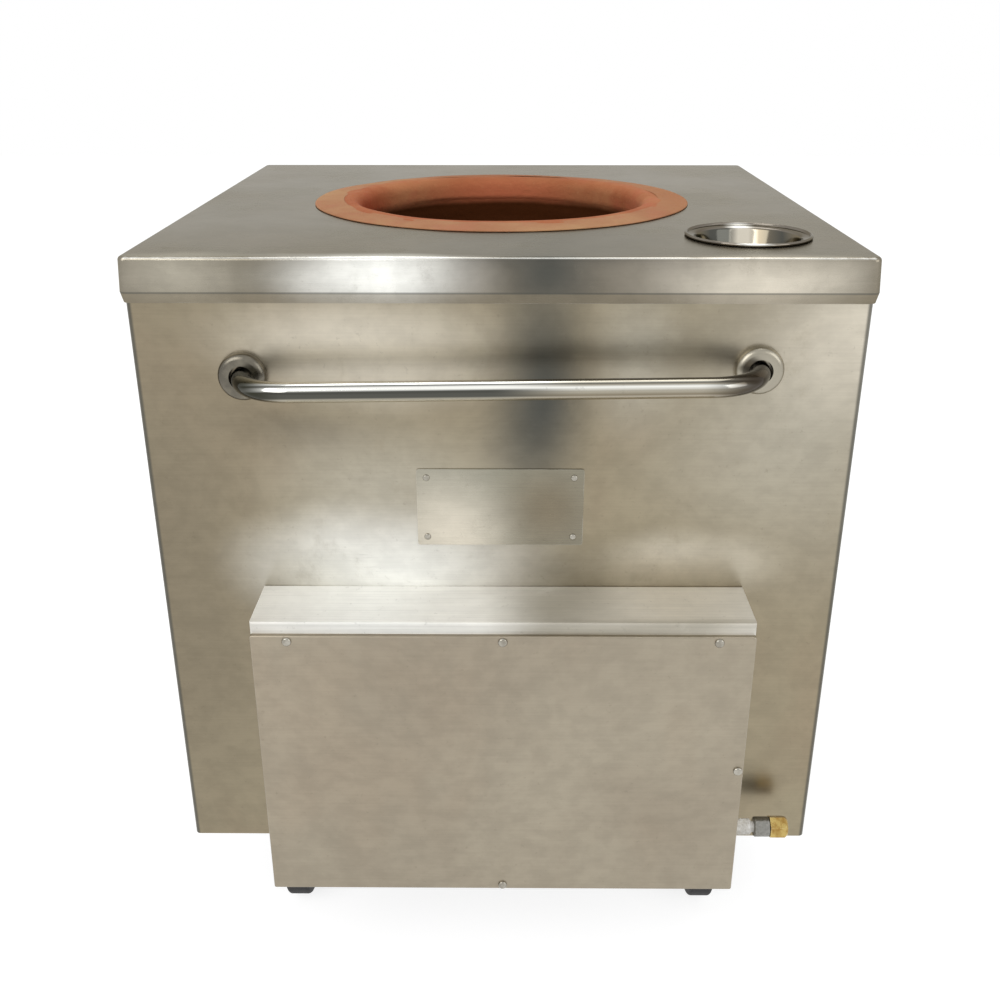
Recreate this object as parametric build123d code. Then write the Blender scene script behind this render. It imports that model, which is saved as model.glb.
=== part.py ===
"""Gas-fired clay tandoor oven in a stainless cabinet on four swivel casters.

Millimetres, +Z up, front towards -Y. The origin is on the floor, under the middle of the oven's outer box.
"""

import os
from math import cos, radians, sin, sqrt

from build123d import *

# ---- cabinet -----------------------------------------------------------------------------------------
top_width = 817.0
top_depth = 813.0
body_height = 769.3            # top of the deck down to the lower edge of the panels
caster_height = 155.7          # floor to the top of the caster plates
deck_sheet = 2.0
deck_bend = 4.5                # outside radius of the deck's folded edges
deck_corner = 9.0              # outside radius of the skirt's upright corners
skirt_drop = 38.6
skirt_flare = 2.5              # how far the side skirts lean outwards at their foot
lip_drop = 11.7                # sloped hem below the skirt
lip_lean = 2.3                 # how far that hem leans inwards
panel_sheet = 1.5
panel_bend = 7.0               # outside radius of the cabinet's upright corners
panel_return = 25.0            # depth of the front and rear panels' side folds
seam_gap = 0.5
sheet_gap = 0.2                # between sheets that lie on each other

# ---- base, frame and corner posts --------------------------------------------------------------------
frame_leg = 40.0
frame_steel = 4.0
base_sheet = 3.0
air_hole_radius = 22.0
air_hole_circle = 125.0
air_hole_count = 8
rail_width = 110.0
rail_steel = 4.0
post_leg = 48.0
post_steel = 3.0
rivet_head_radius = 4.0
rivet_head_height = 1.6
rivet_shank_radius = 2.0
rivet_pitch_count = 5

# ---- clay pot, rim and jacket ------------------------------------------------------------------------
mouth_radius = 192.5
pot_wall = 38.0
lip_radius = 16.0
rim_rise = 6.0                 # crest of the clay rim above the deck
rim_edge = 2.0                 # height of the rim's outer edge above the deck
rim_radius = 260.0
rim_seat = 10.0                # how far the rim overlaps the deck around its hole
rim_depth = 45.0               # how deep the mortar ring reaches below the deck
neck_depth = 62.0              # straight part of the neck below the deck
pot_belly_radius = 320.0
pot_belly_height = 215.0       # widest part above the pot's foot
pot_foot_radius = 240.0
pot_floor = 36.0
pot_floor_hole_radius = 118.0
joint_gap = 0.6                # between the pot, the mortar and the jacket
jacket_thickness = 45.0
jacket_top_drop = 50.0         # top of the jacket below the deck
stand_height = 92.0
stand_radius = 215.0
stand_steel = 4.0

# ---- bowl --------------------------------------------------------------------------------------------
bowl_inset = 119.1             # the bowl's centre from the deck's right edge
bowl_y = 128.0                 # behind the skirt's front face
bowl_rim_radius = 73.6
bowl_throat_radius = 60.0
bowl_throat_rise = 0.4         # the cup's mouth above the deck
bowl_base_radius = 50.0
bowl_base_bend = 12.0          # outside radius between the cup's side and floor
bowl_depth = 50.0
bowl_sheet = 1.0
bowl_bead = 2.0                # radius of the rolled edge, which lies on the deck
bowl_seat_gap = 0.2            # between the bowl and the deck, under the edge and round the cup

# ---- front handle ------------------------------------------------------------------------------------
front_shift = 1.5              # the handle and the plate sit this far right of the middle
handle_span = 572.0
handle_drop = 127.8
handle_tilt = 8.2              # the right foot sits this much higher than the left one
handle_reach = 65.8            # front panel to the bar's centre line
handle_radius = 11.1
handle_wall = 1.5
handle_bend = 61.8
handle_plug = 5.0
stud_radius = 4.0
stud_length = 20.0
flange_radius = 27.0
flange_height = 13.0
flange_face_radius = 20.0
flange_clearance = 2.7
flange_sheet = 1.2
nut_flats = 13.0
nut_height = 6.5
washer_radius = 9.0
washer_height = 1.6

# ---- bare nameplate ----------------------------------------------------------------------------------
plate_width = 194.0
plate_height = 96.0
plate_sheet = 1.5
plate_drop = 291.5             # its centre below the deck
plate_screw_inset_x = 11.5
plate_screw_inset_z = 10.6
small_head_radius = 4.0
small_head_height = 1.8
small_shank_radius = 1.6
small_shank_length = 8.0

# ---- control box -------------------------------------------------------------------------------------
box_shift = 5.0
cowl_width = 575.0
cowl_depth = 90.5              # front panel to the cowl's front face
cowl_drop = 395.0              # top of the cowl below the deck
cowl_sheet = 1.5
cowl_bend = 2.5
cowl_flange = 20.0
cowl_hang = 4.2                # how far the cowl reaches below the panels
cover_top_drop = 14.5          # top edge of the cover below the cowl's top
cover_stand = 6.0              # the cover is a tray this deep
cover_sheet = 1.5
cover_bend = 2.5
screw_head_radius = 5.6
screw_head_height = 3.0
screw_shank_radius = 2.4
screw_shank_length = 14.0
screw_top_inset = 7.0
screw_side_inset = 7.0
screw_row_inset = 42.0
side_screw_drop = 183.0        # the right-hand screw below the cover's top edge

# ---- burner ------------------------------------------------------------------------------------------
burner_radius = 78.0
burner_height = 46.0
burner_wall = 7.0
burner_foot_height = 24.0
burner_port_count = 24
burner_port_radius = 2.5
mixer_radius = 17.0
mixer_wall = 3.0
mixer_mouth_radius = 24.0
mixer_mouth_length = 26.0
shutter_sheet = 2.0
shutter_clearance = 0.5
shutter_length = 14.0
spreader_radius = 105.0
spreader_sheet = 8.0
spreader_leg_height = 28.0
spreader_leg_radius = 7.0
window_half_width = 70.0
window_height = 88.0

# ---- gas train ---------------------------------------------------------------------------------------
gas_depth = 46.0               # the gas line's centre behind the cowl's front face
gas_rise = 56.0                # the gas line's centre above the cowl's lower edge
pipe_radius = 7.0
pipe_bore = 4.5
taped_radius = 10.6
taped_length = 30.0
locknut_flats = 30.0
locknut_height = 5.0
collar_radius = 12.5
collar_length = 20.0
collar_groove = 3.0
brass_flats = 25.0
brass_length = 22.0
inlet_bore_radius = 7.475
inlet_bore_length = 16.0
valve_size = 46.0
valve_depth = 36.0
valve_rise = 30.0              # top of the safety valve above the gas line
valve_fall = 22.0              # its lower face below the gas line
safety_valve_x = 205.0
gas_cock_x = 95.0
cock_radius = 17.0
cock_length = 50.0
stem_radius = 4.0
stem_length = 12.0
stem_clearance = 0.08
knob_radius = 17.0
knob_height = 16.0
button_radius = 6.0
button_length = 22.0
button_cap_radius = 9.0
button_cap_height = 4.0
button_stroke = 5.0
orifice_flats = 12.0
orifice_length = 16.0
pilot_radius = 3.0
pilot_head_radius = 6.0
pilot_head_length = 26.0
pilot_rise = 24.0              # the pilot tube's run above the safety valve
valve_port_spread = 10.0
lead_radius = 1.6
lead_bend = 10.0
lead_drop = 9.0                # the thermocouple lead's run below the pilot tube's

# ---- casters -----------------------------------------------------------------------------------------
caster_inset = 120.0           # swivel axis from the front and rear panels' outer faces
caster_side_inset = 124.3      # swivel axis from the side panels' outer faces
caster_trail = 38.0
wheel_radius = 63.5
wheel_width = 32.0
tread_thickness = 14.0
hub_radius = 15.0
bush_radius = 7.0
axle_radius = 4.75
axle_nut_flats = 14.0
axle_nut_height = 7.0
running_clearance = 0.08
fork_steel = 3.0
fork_side_gap = 3.0
fork_boss_radius = 15.0
crown_radius = 30.0
crown_steel = 4.0
race_height = 6.0
race_radius = 24.0
race_gap = 0.6
king_pin_radius = 6.0
king_head_radius = 10.0
king_head_height = 3.0
plate_length = 100.0
plate_breadth = 85.0
plate_steel = 4.0
plate_bolt_x = 62.0
plate_bolt_y = 76.0
bolt_radius = 4.0
bolt_hole_clearance = 0.5
bolt_flats = 13.0
bolt_head_height = 5.3
brake_pivot_forward = 52.0     # from the swivel axis
brake_pivot_height = 134.0
brake_pin_radius = 3.0
brake_hub_radius = 6.0
brake_steel = 2.5
brake_travel = 12.0            # degrees
brake_gap = 0.6
brake_reach = 60.0             # pivot to the pedal's tip
brake_shoe_offset = 24.0       # pivot to the shoe

# ---- places that follow from the sizes ---------------------------------------------------------------
panel_inset = deck_sheet + lip_lean + sheet_gap
side_inset = deck_sheet + sheet_gap
deck_z = caster_height + body_height
front_reach = cowl_depth - panel_inset + cover_stand + screw_head_height
back_y = (top_depth + front_reach) / 2
skirt_y = back_y - top_depth
pot_y = back_y - top_depth / 2
panel_x = top_width / 2 - side_inset
panel_y = skirt_y + panel_inset
rear_y = back_y - panel_inset
panel_top = deck_z - deck_bend - seam_gap
post_top = deck_z - deck_sheet - seam_gap
base_z = caster_height + frame_leg
base_top = base_z + base_sheet
pot_foot_z = base_top + stand_height
neck_radius = mouth_radius + pot_wall
neck_z = deck_z - neck_depth
crest_z = deck_z + rim_rise
crest_radius = mouth_radius + lip_radius
rim_slope = (rim_rise - rim_edge) / (rim_radius - crest_radius)
joint_z = crest_z - (neck_radius - crest_radius) * rim_slope
mouth_hole_radius = rim_radius - rim_seat
bowl_bead_circle = bowl_rim_radius - bowl_bead
bowl_bead_rise = bowl_bead + bowl_seat_gap
bowl_rim_slope = (bowl_bead_rise - bowl_throat_rise) / (bowl_bead_circle - bowl_throat_radius)
bowl_seat_drop = bowl_sheet + bowl_seat_gap - bowl_throat_rise
bowl_hole_radius = bowl_throat_radius + bowl_seat_drop / bowl_rim_slope
bowl_x = top_width / 2 - bowl_inset
bowl_centre_y = skirt_y + bowl_y
handle_y = panel_y - handle_reach
handle_z = deck_z - handle_drop
cowl_y = panel_y - cowl_depth
cowl_top = deck_z - cowl_drop
cowl_bottom = caster_height - cowl_hang
cover_y = cowl_y - cover_stand
cover_top = cowl_top - cover_top_drop
cover_bottom = cowl_bottom - seam_gap
cowl_right = box_shift + cowl_width / 2
cowl_left = box_shift - cowl_width / 2
gas_y = cowl_y + gas_depth
gas_z = cowl_bottom + gas_rise
burner_z = base_top + burner_foot_height
mixer_z = burner_z + burner_height / 2
mixer_front_y = panel_y - mixer_mouth_length / 2
fork_half = wheel_width / 2 + fork_side_gap
crown_top = caster_height - plate_steel - race_height - race_gap
crown_bottom = crown_top - crown_steel
corners = {
    "front_left": (-(panel_x - caster_side_inset), panel_y + caster_inset),
    "front_right": (panel_x - caster_side_inset, panel_y + caster_inset),
    "rear_left": (-(panel_x - caster_side_inset), rear_y - caster_inset),
    "rear_right": (panel_x - caster_side_inset, rear_y - caster_inset),
}


# ---- helpers -----------------------------------------------------------------------------------------
def block(x0, x1, y0, y1, z0, z1):
    """A box between two corners."""
    return Pos((x0 + x1) / 2, (y0 + y1) / 2, (z0 + z1) / 2) * Box(x1 - x0, y1 - y0, z1 - z0)


def rod(start, direction, radius, length):
    """A round bar that starts at a point and runs along a direction."""
    return Plane(origin=start, z_dir=direction) * Pos(0, 0, length / 2) * Cylinder(radius, length)


def hexagon(start, direction, flats, height):
    """A hexagonal bar, measured across its flats."""
    base = Plane(origin=start, z_dir=direction) * RegularPolygon(flats / 2, 6, major_radius=False)
    return extrude(base, height, dir=direction)


def spun(*edges, x=0.0, y=0.0):
    """A solid turned about a vertical axis from edges in the XZ plane that close on themselves."""
    return Pos(x, y, 0) * revolve(make_face(Wire(edges)), Axis.Z)


def spun_polygon(points, x=0.0, y=0.0):
    """A solid turned about a vertical axis from (radius, height) corners."""
    face = make_face(Polyline(*[(r, 0, z) for r, z in points], close=True))
    return Pos(x, y, 0) * revolve(face, Axis.Z)


def pipe(points, radius, bends, bore=0.0):
    """A round bar or tube along straight runs joined by arcs."""
    path = FilletPolyline(*points, radius=bends)
    section = Plane(origin=path @ 0, z_dir=path % 0) * Circle(radius)
    solid = sweep(section, path=path)
    if bore:
        solid -= sweep(Plane(origin=path @ 0, z_dir=path % 0) * Circle(bore), path=path)
    return solid


def edges_along(shape, axis, *places):
    """The straight edges parallel to an axis whose centres lie at one of the given places.

    Each place is a dictionary from "X", "Y" or "Z" to the value that the edge's centre has there.
    """
    found = []
    for edge in shape.edges().filter_by(axis):
        centre = edge.center()
        for place in places:
            if all(abs(getattr(centre, key) - value) < 0.01 for key, value in place.items()):
                found.append(edge)
    return found


def screw(start, direction, head_radius, head_height, shank_radius, shank_length):
    """A domed-head screw: the head stands out along the direction, the shank goes the other way."""
    head = rod(start, direction, head_radius, head_height)
    rim = head.faces().sort_by(Axis(start, direction))[-1].edges()
    head = fillet(rim, min(head_height, head_radius) * 0.85)
    into = tuple(-component for component in direction)
    return head + rod(start, into, shank_radius, shank_length)


# ---- cabinet -----------------------------------------------------------------------------------------
def make_top_deck():
    """Folded tray with a skirt, a sloped hem, the mouth's hole and the bowl's hole."""
    skirt_bottom = deck_z - skirt_drop
    hem_bottom = skirt_bottom - lip_drop

    def section(inset, z, flare, lean):
        width = top_width + 2 * (flare - inset - lean)
        depth = top_depth - 2 * (inset + lean)
        return Pos(0, pot_y, z) * RectangleRounded(width, depth, deck_corner - inset)

    def tray(inset, top):
        fold = section(inset, top, 0, 0)
        foot = section(inset, skirt_bottom, skirt_flare, 0)
        hem = section(inset, hem_bottom, skirt_flare, lip_lean)
        body = loft([foot.faces()[0], fold.faces()[0]])
        body = fillet(body.faces().sort_by(Axis.Z)[-1].edges(), deck_bend - inset)
        return body + loft([hem.faces()[0], foot.faces()[0]])

    deck = tray(0, deck_z) - tray(deck_sheet, deck_z - deck_sheet)
    deck -= Pos(0, pot_y, deck_z) * Cylinder(mouth_hole_radius, 4 * deck_sheet)
    deck -= Pos(bowl_x, bowl_centre_y, deck_z) * Cylinder(bowl_hole_radius, 4 * deck_sheet)
    return deck


def folded_panel(face_y, inward):
    """A sheet across the oven's width with a fold at each side; inward is +1 or -1 along Y."""
    def shell(inset, reach, overrun):
        y0, y1 = sorted((face_y + inward * inset, face_y + inward * reach))
        body = block(-panel_x + inset, panel_x - inset, y0, y1, caster_height - overrun, panel_top + overrun)
        places = [{"X": side * (panel_x - inset), "Y": face_y + inward * inset} for side in (-1, 1)]
        return fillet(edges_along(body, Axis.Z, *places), panel_bend - inset)

    return shell(0, panel_return, 0) - shell(panel_sheet, panel_return + 1, 1)


def make_front_panel():
    """Front sheet with the handle's and plate's holes and the window behind the control box."""
    panel = folded_panel(panel_y, 1)
    into = (0, 1, 0)
    start = panel_y - 1
    for x, z in handle_feet():
        panel -= rod((x, start, z), into, stud_radius + bolt_hole_clearance, panel_sheet + 2)
    for x, z in plate_screw_places():
        panel -= rod((x, start, z), into, small_shank_radius + sheet_gap, panel_sheet + 2)
    window_low = base_top + seam_gap
    window_top = window_low + window_height
    end = panel_y + panel_sheet + 1
    return panel - block(-window_half_width, window_half_width, start, end, window_low, window_top)


def make_side_panel(side):
    """Flat sheet between the front and rear panels' folds; side is -1 for left or +1 for right."""
    x0, x1 = sorted((side * panel_x, side * (panel_x - panel_sheet)))
    sheet = block(
        x0, x1, panel_y + panel_return + seam_gap, rear_y - panel_return - seam_gap, caster_height, panel_top
    )
    hole = rivet_shank_radius + sheet_gap
    for y, z in rivet_places():
        sheet -= rod((side * (panel_x + 1), y, z), (-side, 0, 0), hole, panel_sheet + 2)
    return sheet


def rivet_places():
    """(y, z) of the rivets that hold each side panel to its two corner posts."""
    inset = panel_return + seam_gap + 11
    low = base_top + 40
    pitch = (deck_z - skirt_drop - lip_drop - 45 - low) / (rivet_pitch_count - 1)
    heights = [low + pitch * i for i in range(rivet_pitch_count)]
    return [(y, z) for y in (panel_y + inset, rear_y - inset) for z in heights]


def make_corner_posts():
    """Four steel angles that back the seams, standing on the base plate."""
    reach = panel_sheet + sheet_gap
    posts = Part()
    for side in (-1, 1):
        for face_y, inward in ((panel_y, 1), (rear_y, -1)):
            x_out = side * (panel_x - reach)
            x_in = side * (panel_x - reach - post_leg)
            x_web = side * (panel_x - reach - post_steel)
            y_out = face_y + inward * reach
            y_in = face_y + inward * (reach + post_leg)
            y_web = face_y + inward * (reach + post_steel)
            leg_x = block(*sorted((x_in, x_out)), *sorted((y_out, y_web)), base_top, post_top)
            leg_y = block(*sorted((x_web, x_out)), *sorted((y_out, y_in)), base_top, post_top)
            post = leg_x + leg_y
            post = fillet(edges_along(post, Axis.Z, {"X": x_out, "Y": y_out}), panel_bend - panel_sheet)
            for y, z in rivet_places():
                if abs(y - y_out) < post_leg:
                    hole = rivet_shank_radius + sheet_gap
                    post -= rod((side * panel_x, y, z), (-side, 0, 0), hole, reach + post_steel + 2)
            posts += post
    return posts


def make_panel_rivets():
    """Domed rivets through the side panels into the corner posts."""
    rivets = Part()
    length = panel_sheet + sheet_gap + post_steel + 2
    for side in (-1, 1):
        for y, z in rivet_places():
            start = (side * panel_x, y, z)
            rivets += screw(
                start, (side, 0, 0), rivet_head_radius, rivet_head_height, rivet_shank_radius, length
            )
    return rivets


def make_rear_panel():
    """Rear sheet, folded like the front one and without openings."""
    return folded_panel(rear_y, -1)


# ---- base --------------------------------------------------------------------------------------------
def inner_rectangle(inset):
    """(x0, x1, y0, y1) inside the panels at a distance from their inner faces."""
    gap = panel_sheet + sheet_gap + inset
    return (-panel_x + gap, panel_x - gap, panel_y + gap, rear_y - gap)


def make_base_frame():
    """Welded ring of steel angle along the foot of the panels."""
    ring = block(*inner_rectangle(0), caster_height, base_z)
    ring = fillet(ring.edges().filter_by(Axis.Z), panel_bend)
    ring -= block(*inner_rectangle(frame_steel), caster_height + frame_steel, base_z + 1)
    return ring - block(*inner_rectangle(frame_leg), caster_height - 1, base_z + 1)


def make_caster_rails():
    """Two steel channels, front to back, that carry the casters."""
    x0, x1, y0, y1 = inner_rectangle(frame_leg + sheet_gap)
    rails = Part()
    for x in (corners["front_left"][0], corners["front_right"][0]):
        half = rail_width / 2
        inside = half - rail_steel
        rail = block(x - half, x + half, y0, y1, caster_height, base_z)
        rail -= block(x - inside, x + inside, y0 - 1, y1 + 1, caster_height + rail_steel, base_z + 1)
        for bolt_x, bolt_y in bolt_places():
            if abs(bolt_x - x) < half:
                hole = bolt_radius + bolt_hole_clearance
                rail -= rod((bolt_x, bolt_y, caster_height - 1), (0, 0, 1), hole, rail_steel + 2)
        rails += rail
    return rails


def make_base_plate():
    """Floor of the cabinet with a ring of holes for the burner's air."""
    plate = block(*inner_rectangle(0), base_z, base_top)
    plate = fillet(plate.edges().filter_by(Axis.Z), panel_bend)
    for i in range(air_hole_count):
        spin = radians(360 / air_hole_count * (i + 0.5))
        x = air_hole_circle * cos(spin)
        y = pot_y + air_hole_circle * sin(spin)
        plate -= rod((x, y, base_z - 1), (0, 0, 1), air_hole_radius, base_sheet + 2)
    return plate


# ---- clay pot, rim and jacket ------------------------------------------------------------------------
def belly_curve(shift):
    """The pot's side from foot to neck in the XZ plane, moved outwards by shift."""
    foot = (pot_foot_radius + shift, 0, pot_foot_z)
    belly = (pot_belly_radius + shift, 0, pot_foot_z + pot_belly_height)
    neck = (neck_radius + shift, 0, neck_z)
    return Spline(foot, belly, neck, tangents=[(0.25, 0, 1), (0, 0, 1)])


def make_clay_pot():
    """Bell-shaped clay pot with a thick floor, an open neck and a rounded lip."""
    outer = belly_curve(0)
    inner = belly_curve(-pot_wall)
    inner_foot = inner @ 0
    floor_z = pot_foot_z + pot_floor
    arc_middle = lip_radius * (1 - sqrt(0.5))
    lip = ThreePointArc(
        (mouth_radius, 0, crest_z - lip_radius),
        (mouth_radius + arc_middle, 0, crest_z - arc_middle),
        (crest_radius, 0, crest_z),
    )
    shell = spun(
        outer,
        Line((neck_radius, 0, neck_z), (neck_radius, 0, joint_z)),
        Line((neck_radius, 0, joint_z), (crest_radius, 0, crest_z)),
        lip,
        Line((mouth_radius, 0, crest_z - lip_radius), (mouth_radius, 0, neck_z)),
        inner,
        Line(inner_foot, (pot_floor_hole_radius, 0, pot_foot_z)),
        Line((pot_floor_hole_radius, 0, pot_foot_z), outer @ 0),
        y=pot_y,
    )
    floor = spun_polygon(
        [
            (pot_floor_hole_radius, pot_foot_z),
            (pot_foot_radius - pot_wall / 2, pot_foot_z),
            (pot_foot_radius - pot_wall / 2, floor_z),
            (pot_floor_hole_radius, floor_z),
        ],
        y=pot_y,
    )
    return shell + floor


def make_rim_collar():
    """Fireclay mortar ring between the pot's neck and the deck, finished as a low sloped rim."""
    inner = neck_radius + joint_gap
    edge = rim_edge * 0.75
    collar = spun_polygon(
        [
            (inner, deck_z - rim_depth),
            (mouth_hole_radius - joint_gap, deck_z - rim_depth),
            (mouth_hole_radius - joint_gap, deck_z),
            (rim_radius, deck_z),
            (rim_radius, deck_z + rim_edge - edge),
            (rim_radius - edge, deck_z + rim_edge + edge * rim_slope),
            (inner, crest_z - (inner - crest_radius) * rim_slope),
        ],
        y=pot_y,
    )
    return collar


def make_insulation_jacket():
    """Ceramic-fibre jacket wrapped round the pot from its foot to below the mortar ring."""
    gap = joint_gap
    top = deck_z - jacket_top_drop
    inner = belly_curve(gap)
    outer = belly_curve(gap + jacket_thickness)
    return spun(
        inner,
        Line(inner @ 1, (neck_radius + gap, 0, top)),
        Line((neck_radius + gap, 0, top), (neck_radius + gap + jacket_thickness, 0, top)),
        Line((neck_radius + gap + jacket_thickness, 0, top), outer @ 1),
        outer,
        Line(outer @ 0, inner @ 0),
        y=pot_y,
    )


def make_pot_stand():
    """Steel drum and shelf that carry the pot and its jacket above the burner."""
    drum = spun_polygon(
        [
            (stand_radius - stand_steel, base_top),
            (stand_radius, base_top),
            (stand_radius, pot_foot_z),
            (stand_radius - stand_steel, pot_foot_z),
        ],
        y=pot_y,
    )
    shelf_radius = pot_foot_radius + joint_gap + jacket_thickness
    shelf = spun_polygon(
        [
            (pot_floor_hole_radius + pot_wall, pot_foot_z - stand_steel),
            (shelf_radius, pot_foot_z - stand_steel),
            (shelf_radius, pot_foot_z),
            (pot_floor_hole_radius + pot_wall, pot_foot_z),
        ],
        y=pot_y,
    )
    front = pot_y - stand_radius - 5
    notch_top = mixer_z + mixer_radius + 14
    notch = block(-window_half_width, window_half_width, front, front + 50, base_top - 1, notch_top)
    return drum + shelf - notch


# ---- burner ------------------------------------------------------------------------------------------
def make_burner_head():
    """Round cast burner with a ring of flame ports, a socket for the mixing tube and three feet."""
    top = burner_z + burner_height
    head = rod((0, pot_y, burner_z), (0, 0, 1), burner_radius, burner_height)
    head = fillet(head.faces().sort_by(Axis.Z)[-1].edges(), 8)
    inside_height = burner_height - 2 * burner_wall
    cavity = rod((0, pot_y, burner_z + burner_wall), (0, 0, 1), burner_radius - burner_wall, inside_height)
    socket_length = burner_radius + 14
    socket = rod((0, pot_y, mixer_z), (0, -1, 0), mixer_radius + 5, socket_length)
    head = head + socket - cavity
    head -= rod((0, pot_y - burner_radius / 2, mixer_z), (0, -1, 0), mixer_radius + joint_gap, socket_length)
    port_circle = burner_radius - 3 * burner_wall
    for i in range(burner_port_count):
        spin = radians(360 / burner_port_count * i)
        x = port_circle * cos(spin)
        y = pot_y + port_circle * sin(spin)
        head -= rod((x, y, top - burner_wall - 1), (0, 0, 1), burner_port_radius, burner_wall + 2)
    for i in range(3):
        spin = radians(90 + 120 * i)
        x = (burner_radius - 10) * cos(spin)
        y = pot_y + (burner_radius - 10) * sin(spin)
        head += rod((x, y, base_top), (0, 0, 1), 7, burner_foot_height + burner_wall)
    return head


def make_mixing_tube():
    """Venturi tube from its flared mouth in the control box to the burner's socket."""
    end_y = pot_y - burner_radius / 2 - 6
    flare = mixer_mouth_length
    outline = [
        (mixer_mouth_radius, 0),
        (mixer_mouth_radius, flare),
        (mixer_radius, flare + 22),
        (mixer_radius, end_y - mixer_front_y),
        (mixer_radius - mixer_wall, end_y - mixer_front_y),
        (mixer_radius - mixer_wall, flare + 22),
        (mixer_mouth_radius - mixer_wall, flare),
        (mixer_mouth_radius - mixer_wall, 0),
    ]
    return Pos(0, mixer_front_y, mixer_z) * Rot(-90, 0, 0) * spun_polygon(outline)


def make_air_shutter():
    """Slotted sleeve round the mixing tube's mouth, locked by its own screw."""
    inner = mixer_mouth_radius + shutter_clearance
    start = (0, mixer_front_y + 2, mixer_z)
    sleeve = rod(start, (0, 1, 0), inner + shutter_sheet, shutter_length)
    sleeve -= rod((0, mixer_front_y, mixer_z), (0, 1, 0), inner, shutter_length + 6)
    lock = rod((0, mixer_front_y + 2 + shutter_length / 2, mixer_z + inner + 0.5), (0, 0, 1), 2.5, 9)
    return sleeve + lock


def make_flame_spreader():
    """Cast plate on four legs over the hole in the pot's floor."""
    floor_z = pot_foot_z + pot_floor
    leg_circle = pot_floor_hole_radius + spreader_leg_radius + 4
    plate = rod((0, pot_y, floor_z + spreader_leg_height), (0, 0, 1), spreader_radius, spreader_sheet)
    plate = fillet(plate.faces().sort_by(Axis.Z)[-1].edges(), spreader_sheet * 0.4)
    full_height = spreader_leg_height + spreader_sheet
    arm = block(0, leg_circle, -spreader_leg_radius, spreader_leg_radius, 0, spreader_sheet)
    arm += rod((leg_circle, 0, -spreader_leg_height), (0, 0, 1), spreader_leg_radius, full_height)
    for i in range(4):
        plate += Pos(0, pot_y, floor_z + spreader_leg_height) * Rot(0, 0, 45 + 90 * i) * arm
    return plate


# ---- bowl --------------------------------------------------------------------------------------------
def make_bowl():
    """Drop-in cup whose nearly flat rim ends in a rolled edge that lies on the deck."""
    bead_z = deck_z + bowl_bead_rise

    def cup(inset, top):
        floor_z = deck_z - bowl_depth + inset
        throat_z = deck_z + bowl_throat_rise - bowl_sheet + inset
        rim_z = bead_z - bowl_sheet + inset
        points = [
            (0, floor_z),
            (bowl_base_radius - inset, floor_z),
            (bowl_throat_radius + bowl_sheet - inset, throat_z),
            (bowl_bead_circle, rim_z),
            (bowl_bead_circle, top),
            (0, top),
        ]
        solid = spun_polygon(points)
        base = solid.edges().filter_by(GeomType.CIRCLE).sort_by(Axis.Z)[0]
        return fillet(base, bowl_base_bend - inset)

    shell = cup(0, bead_z) - cup(bowl_sheet, bead_z + 1)
    bead = Pos(0, 0, bead_z) * Torus(bowl_bead_circle, bowl_bead)
    return Pos(bowl_x, bowl_centre_y, 0) * (shell + bead)


# ---- handle ------------------------------------------------------------------------------------------
def handle_feet():
    """(x, z) of the bar's two feet on the front panel, left then right."""
    half_span = handle_span / 2
    half_tilt = handle_tilt / 2
    return [(front_shift - half_span, handle_z - half_tilt), (front_shift + half_span, handle_z + half_tilt)]


def make_handle_bar():
    """Bent tube with a plugged end and a welded stud at each foot."""
    (left, left_z), (right, right_z) = handle_feet()
    points = [
        (left, panel_y, left_z),
        (left, handle_y, left_z),
        (right, handle_y, right_z),
        (right, panel_y, right_z),
    ]
    bar = pipe(points, handle_radius, handle_bend, handle_radius - handle_wall)
    root = handle_plug / 2
    for x, z in handle_feet():
        bar += rod((x, panel_y, z), (0, -1, 0), handle_radius - handle_wall / 2, handle_plug)
        bar += rod((x, panel_y - root, z), (0, 1, 0), stud_radius, root + stud_length)
    return bar


def make_handle_flanges():
    """Domed cover rings where the bar meets the panel."""
    hole = handle_radius + flange_clearance
    shoulder = flange_height * 0.3

    def dome(inset):
        height = flange_height - inset
        middle_radius = flange_face_radius + (flange_radius - flange_face_radius) * 0.75 - inset
        middle_height = shoulder + (height - shoulder) * 0.72
        profile = Wire(
            [
                Line((hole, 0, 0), (flange_radius - inset, 0, 0)),
                Line((flange_radius - inset, 0, 0), (flange_radius - inset, 0, shoulder)),
                ThreePointArc(
                    (flange_radius - inset, 0, shoulder),
                    (middle_radius, 0, middle_height),
                    (flange_face_radius - inset, 0, height),
                ),
                Line((flange_face_radius - inset, 0, height), (hole, 0, height)),
                Line((hole, 0, height), (hole, 0, 0)),
            ]
        )
        return revolve(make_face(profile), Axis.Z)

    ring = dome(0) - dome(flange_sheet)
    flanges = Part()
    for x, z in handle_feet():
        flanges += Pos(x, panel_y, z) * Rot(90, 0, 0) * ring
    return flanges


def make_handle_nuts():
    """Washer and nut on each stud, behind the front panel."""
    group = Part()
    inner_y = panel_y + panel_sheet
    for x, z in handle_feet():
        washer = rod((x, inner_y, z), (0, 1, 0), washer_radius, washer_height)
        nut = hexagon((x, inner_y + washer_height + 0.1, z), (0, 1, 0), nut_flats, nut_height)
        hole = rod((x, inner_y - 1, z), (0, 1, 0), stud_radius + 0.1, stud_length)
        group += (washer - hole) + (nut - hole)
    return group


# ---- nameplate ---------------------------------------------------------------------------------------
def plate_screw_places():
    """(x, z) of the four corner screws of the plate."""
    half_x = plate_width / 2 - plate_screw_inset_x
    half_z = plate_height / 2 - plate_screw_inset_z
    centre_z = deck_z - plate_drop
    return [(front_shift + sx * half_x, centre_z + sz * half_z) for sx in (-1, 1) for sz in (-1, 1)]


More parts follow.
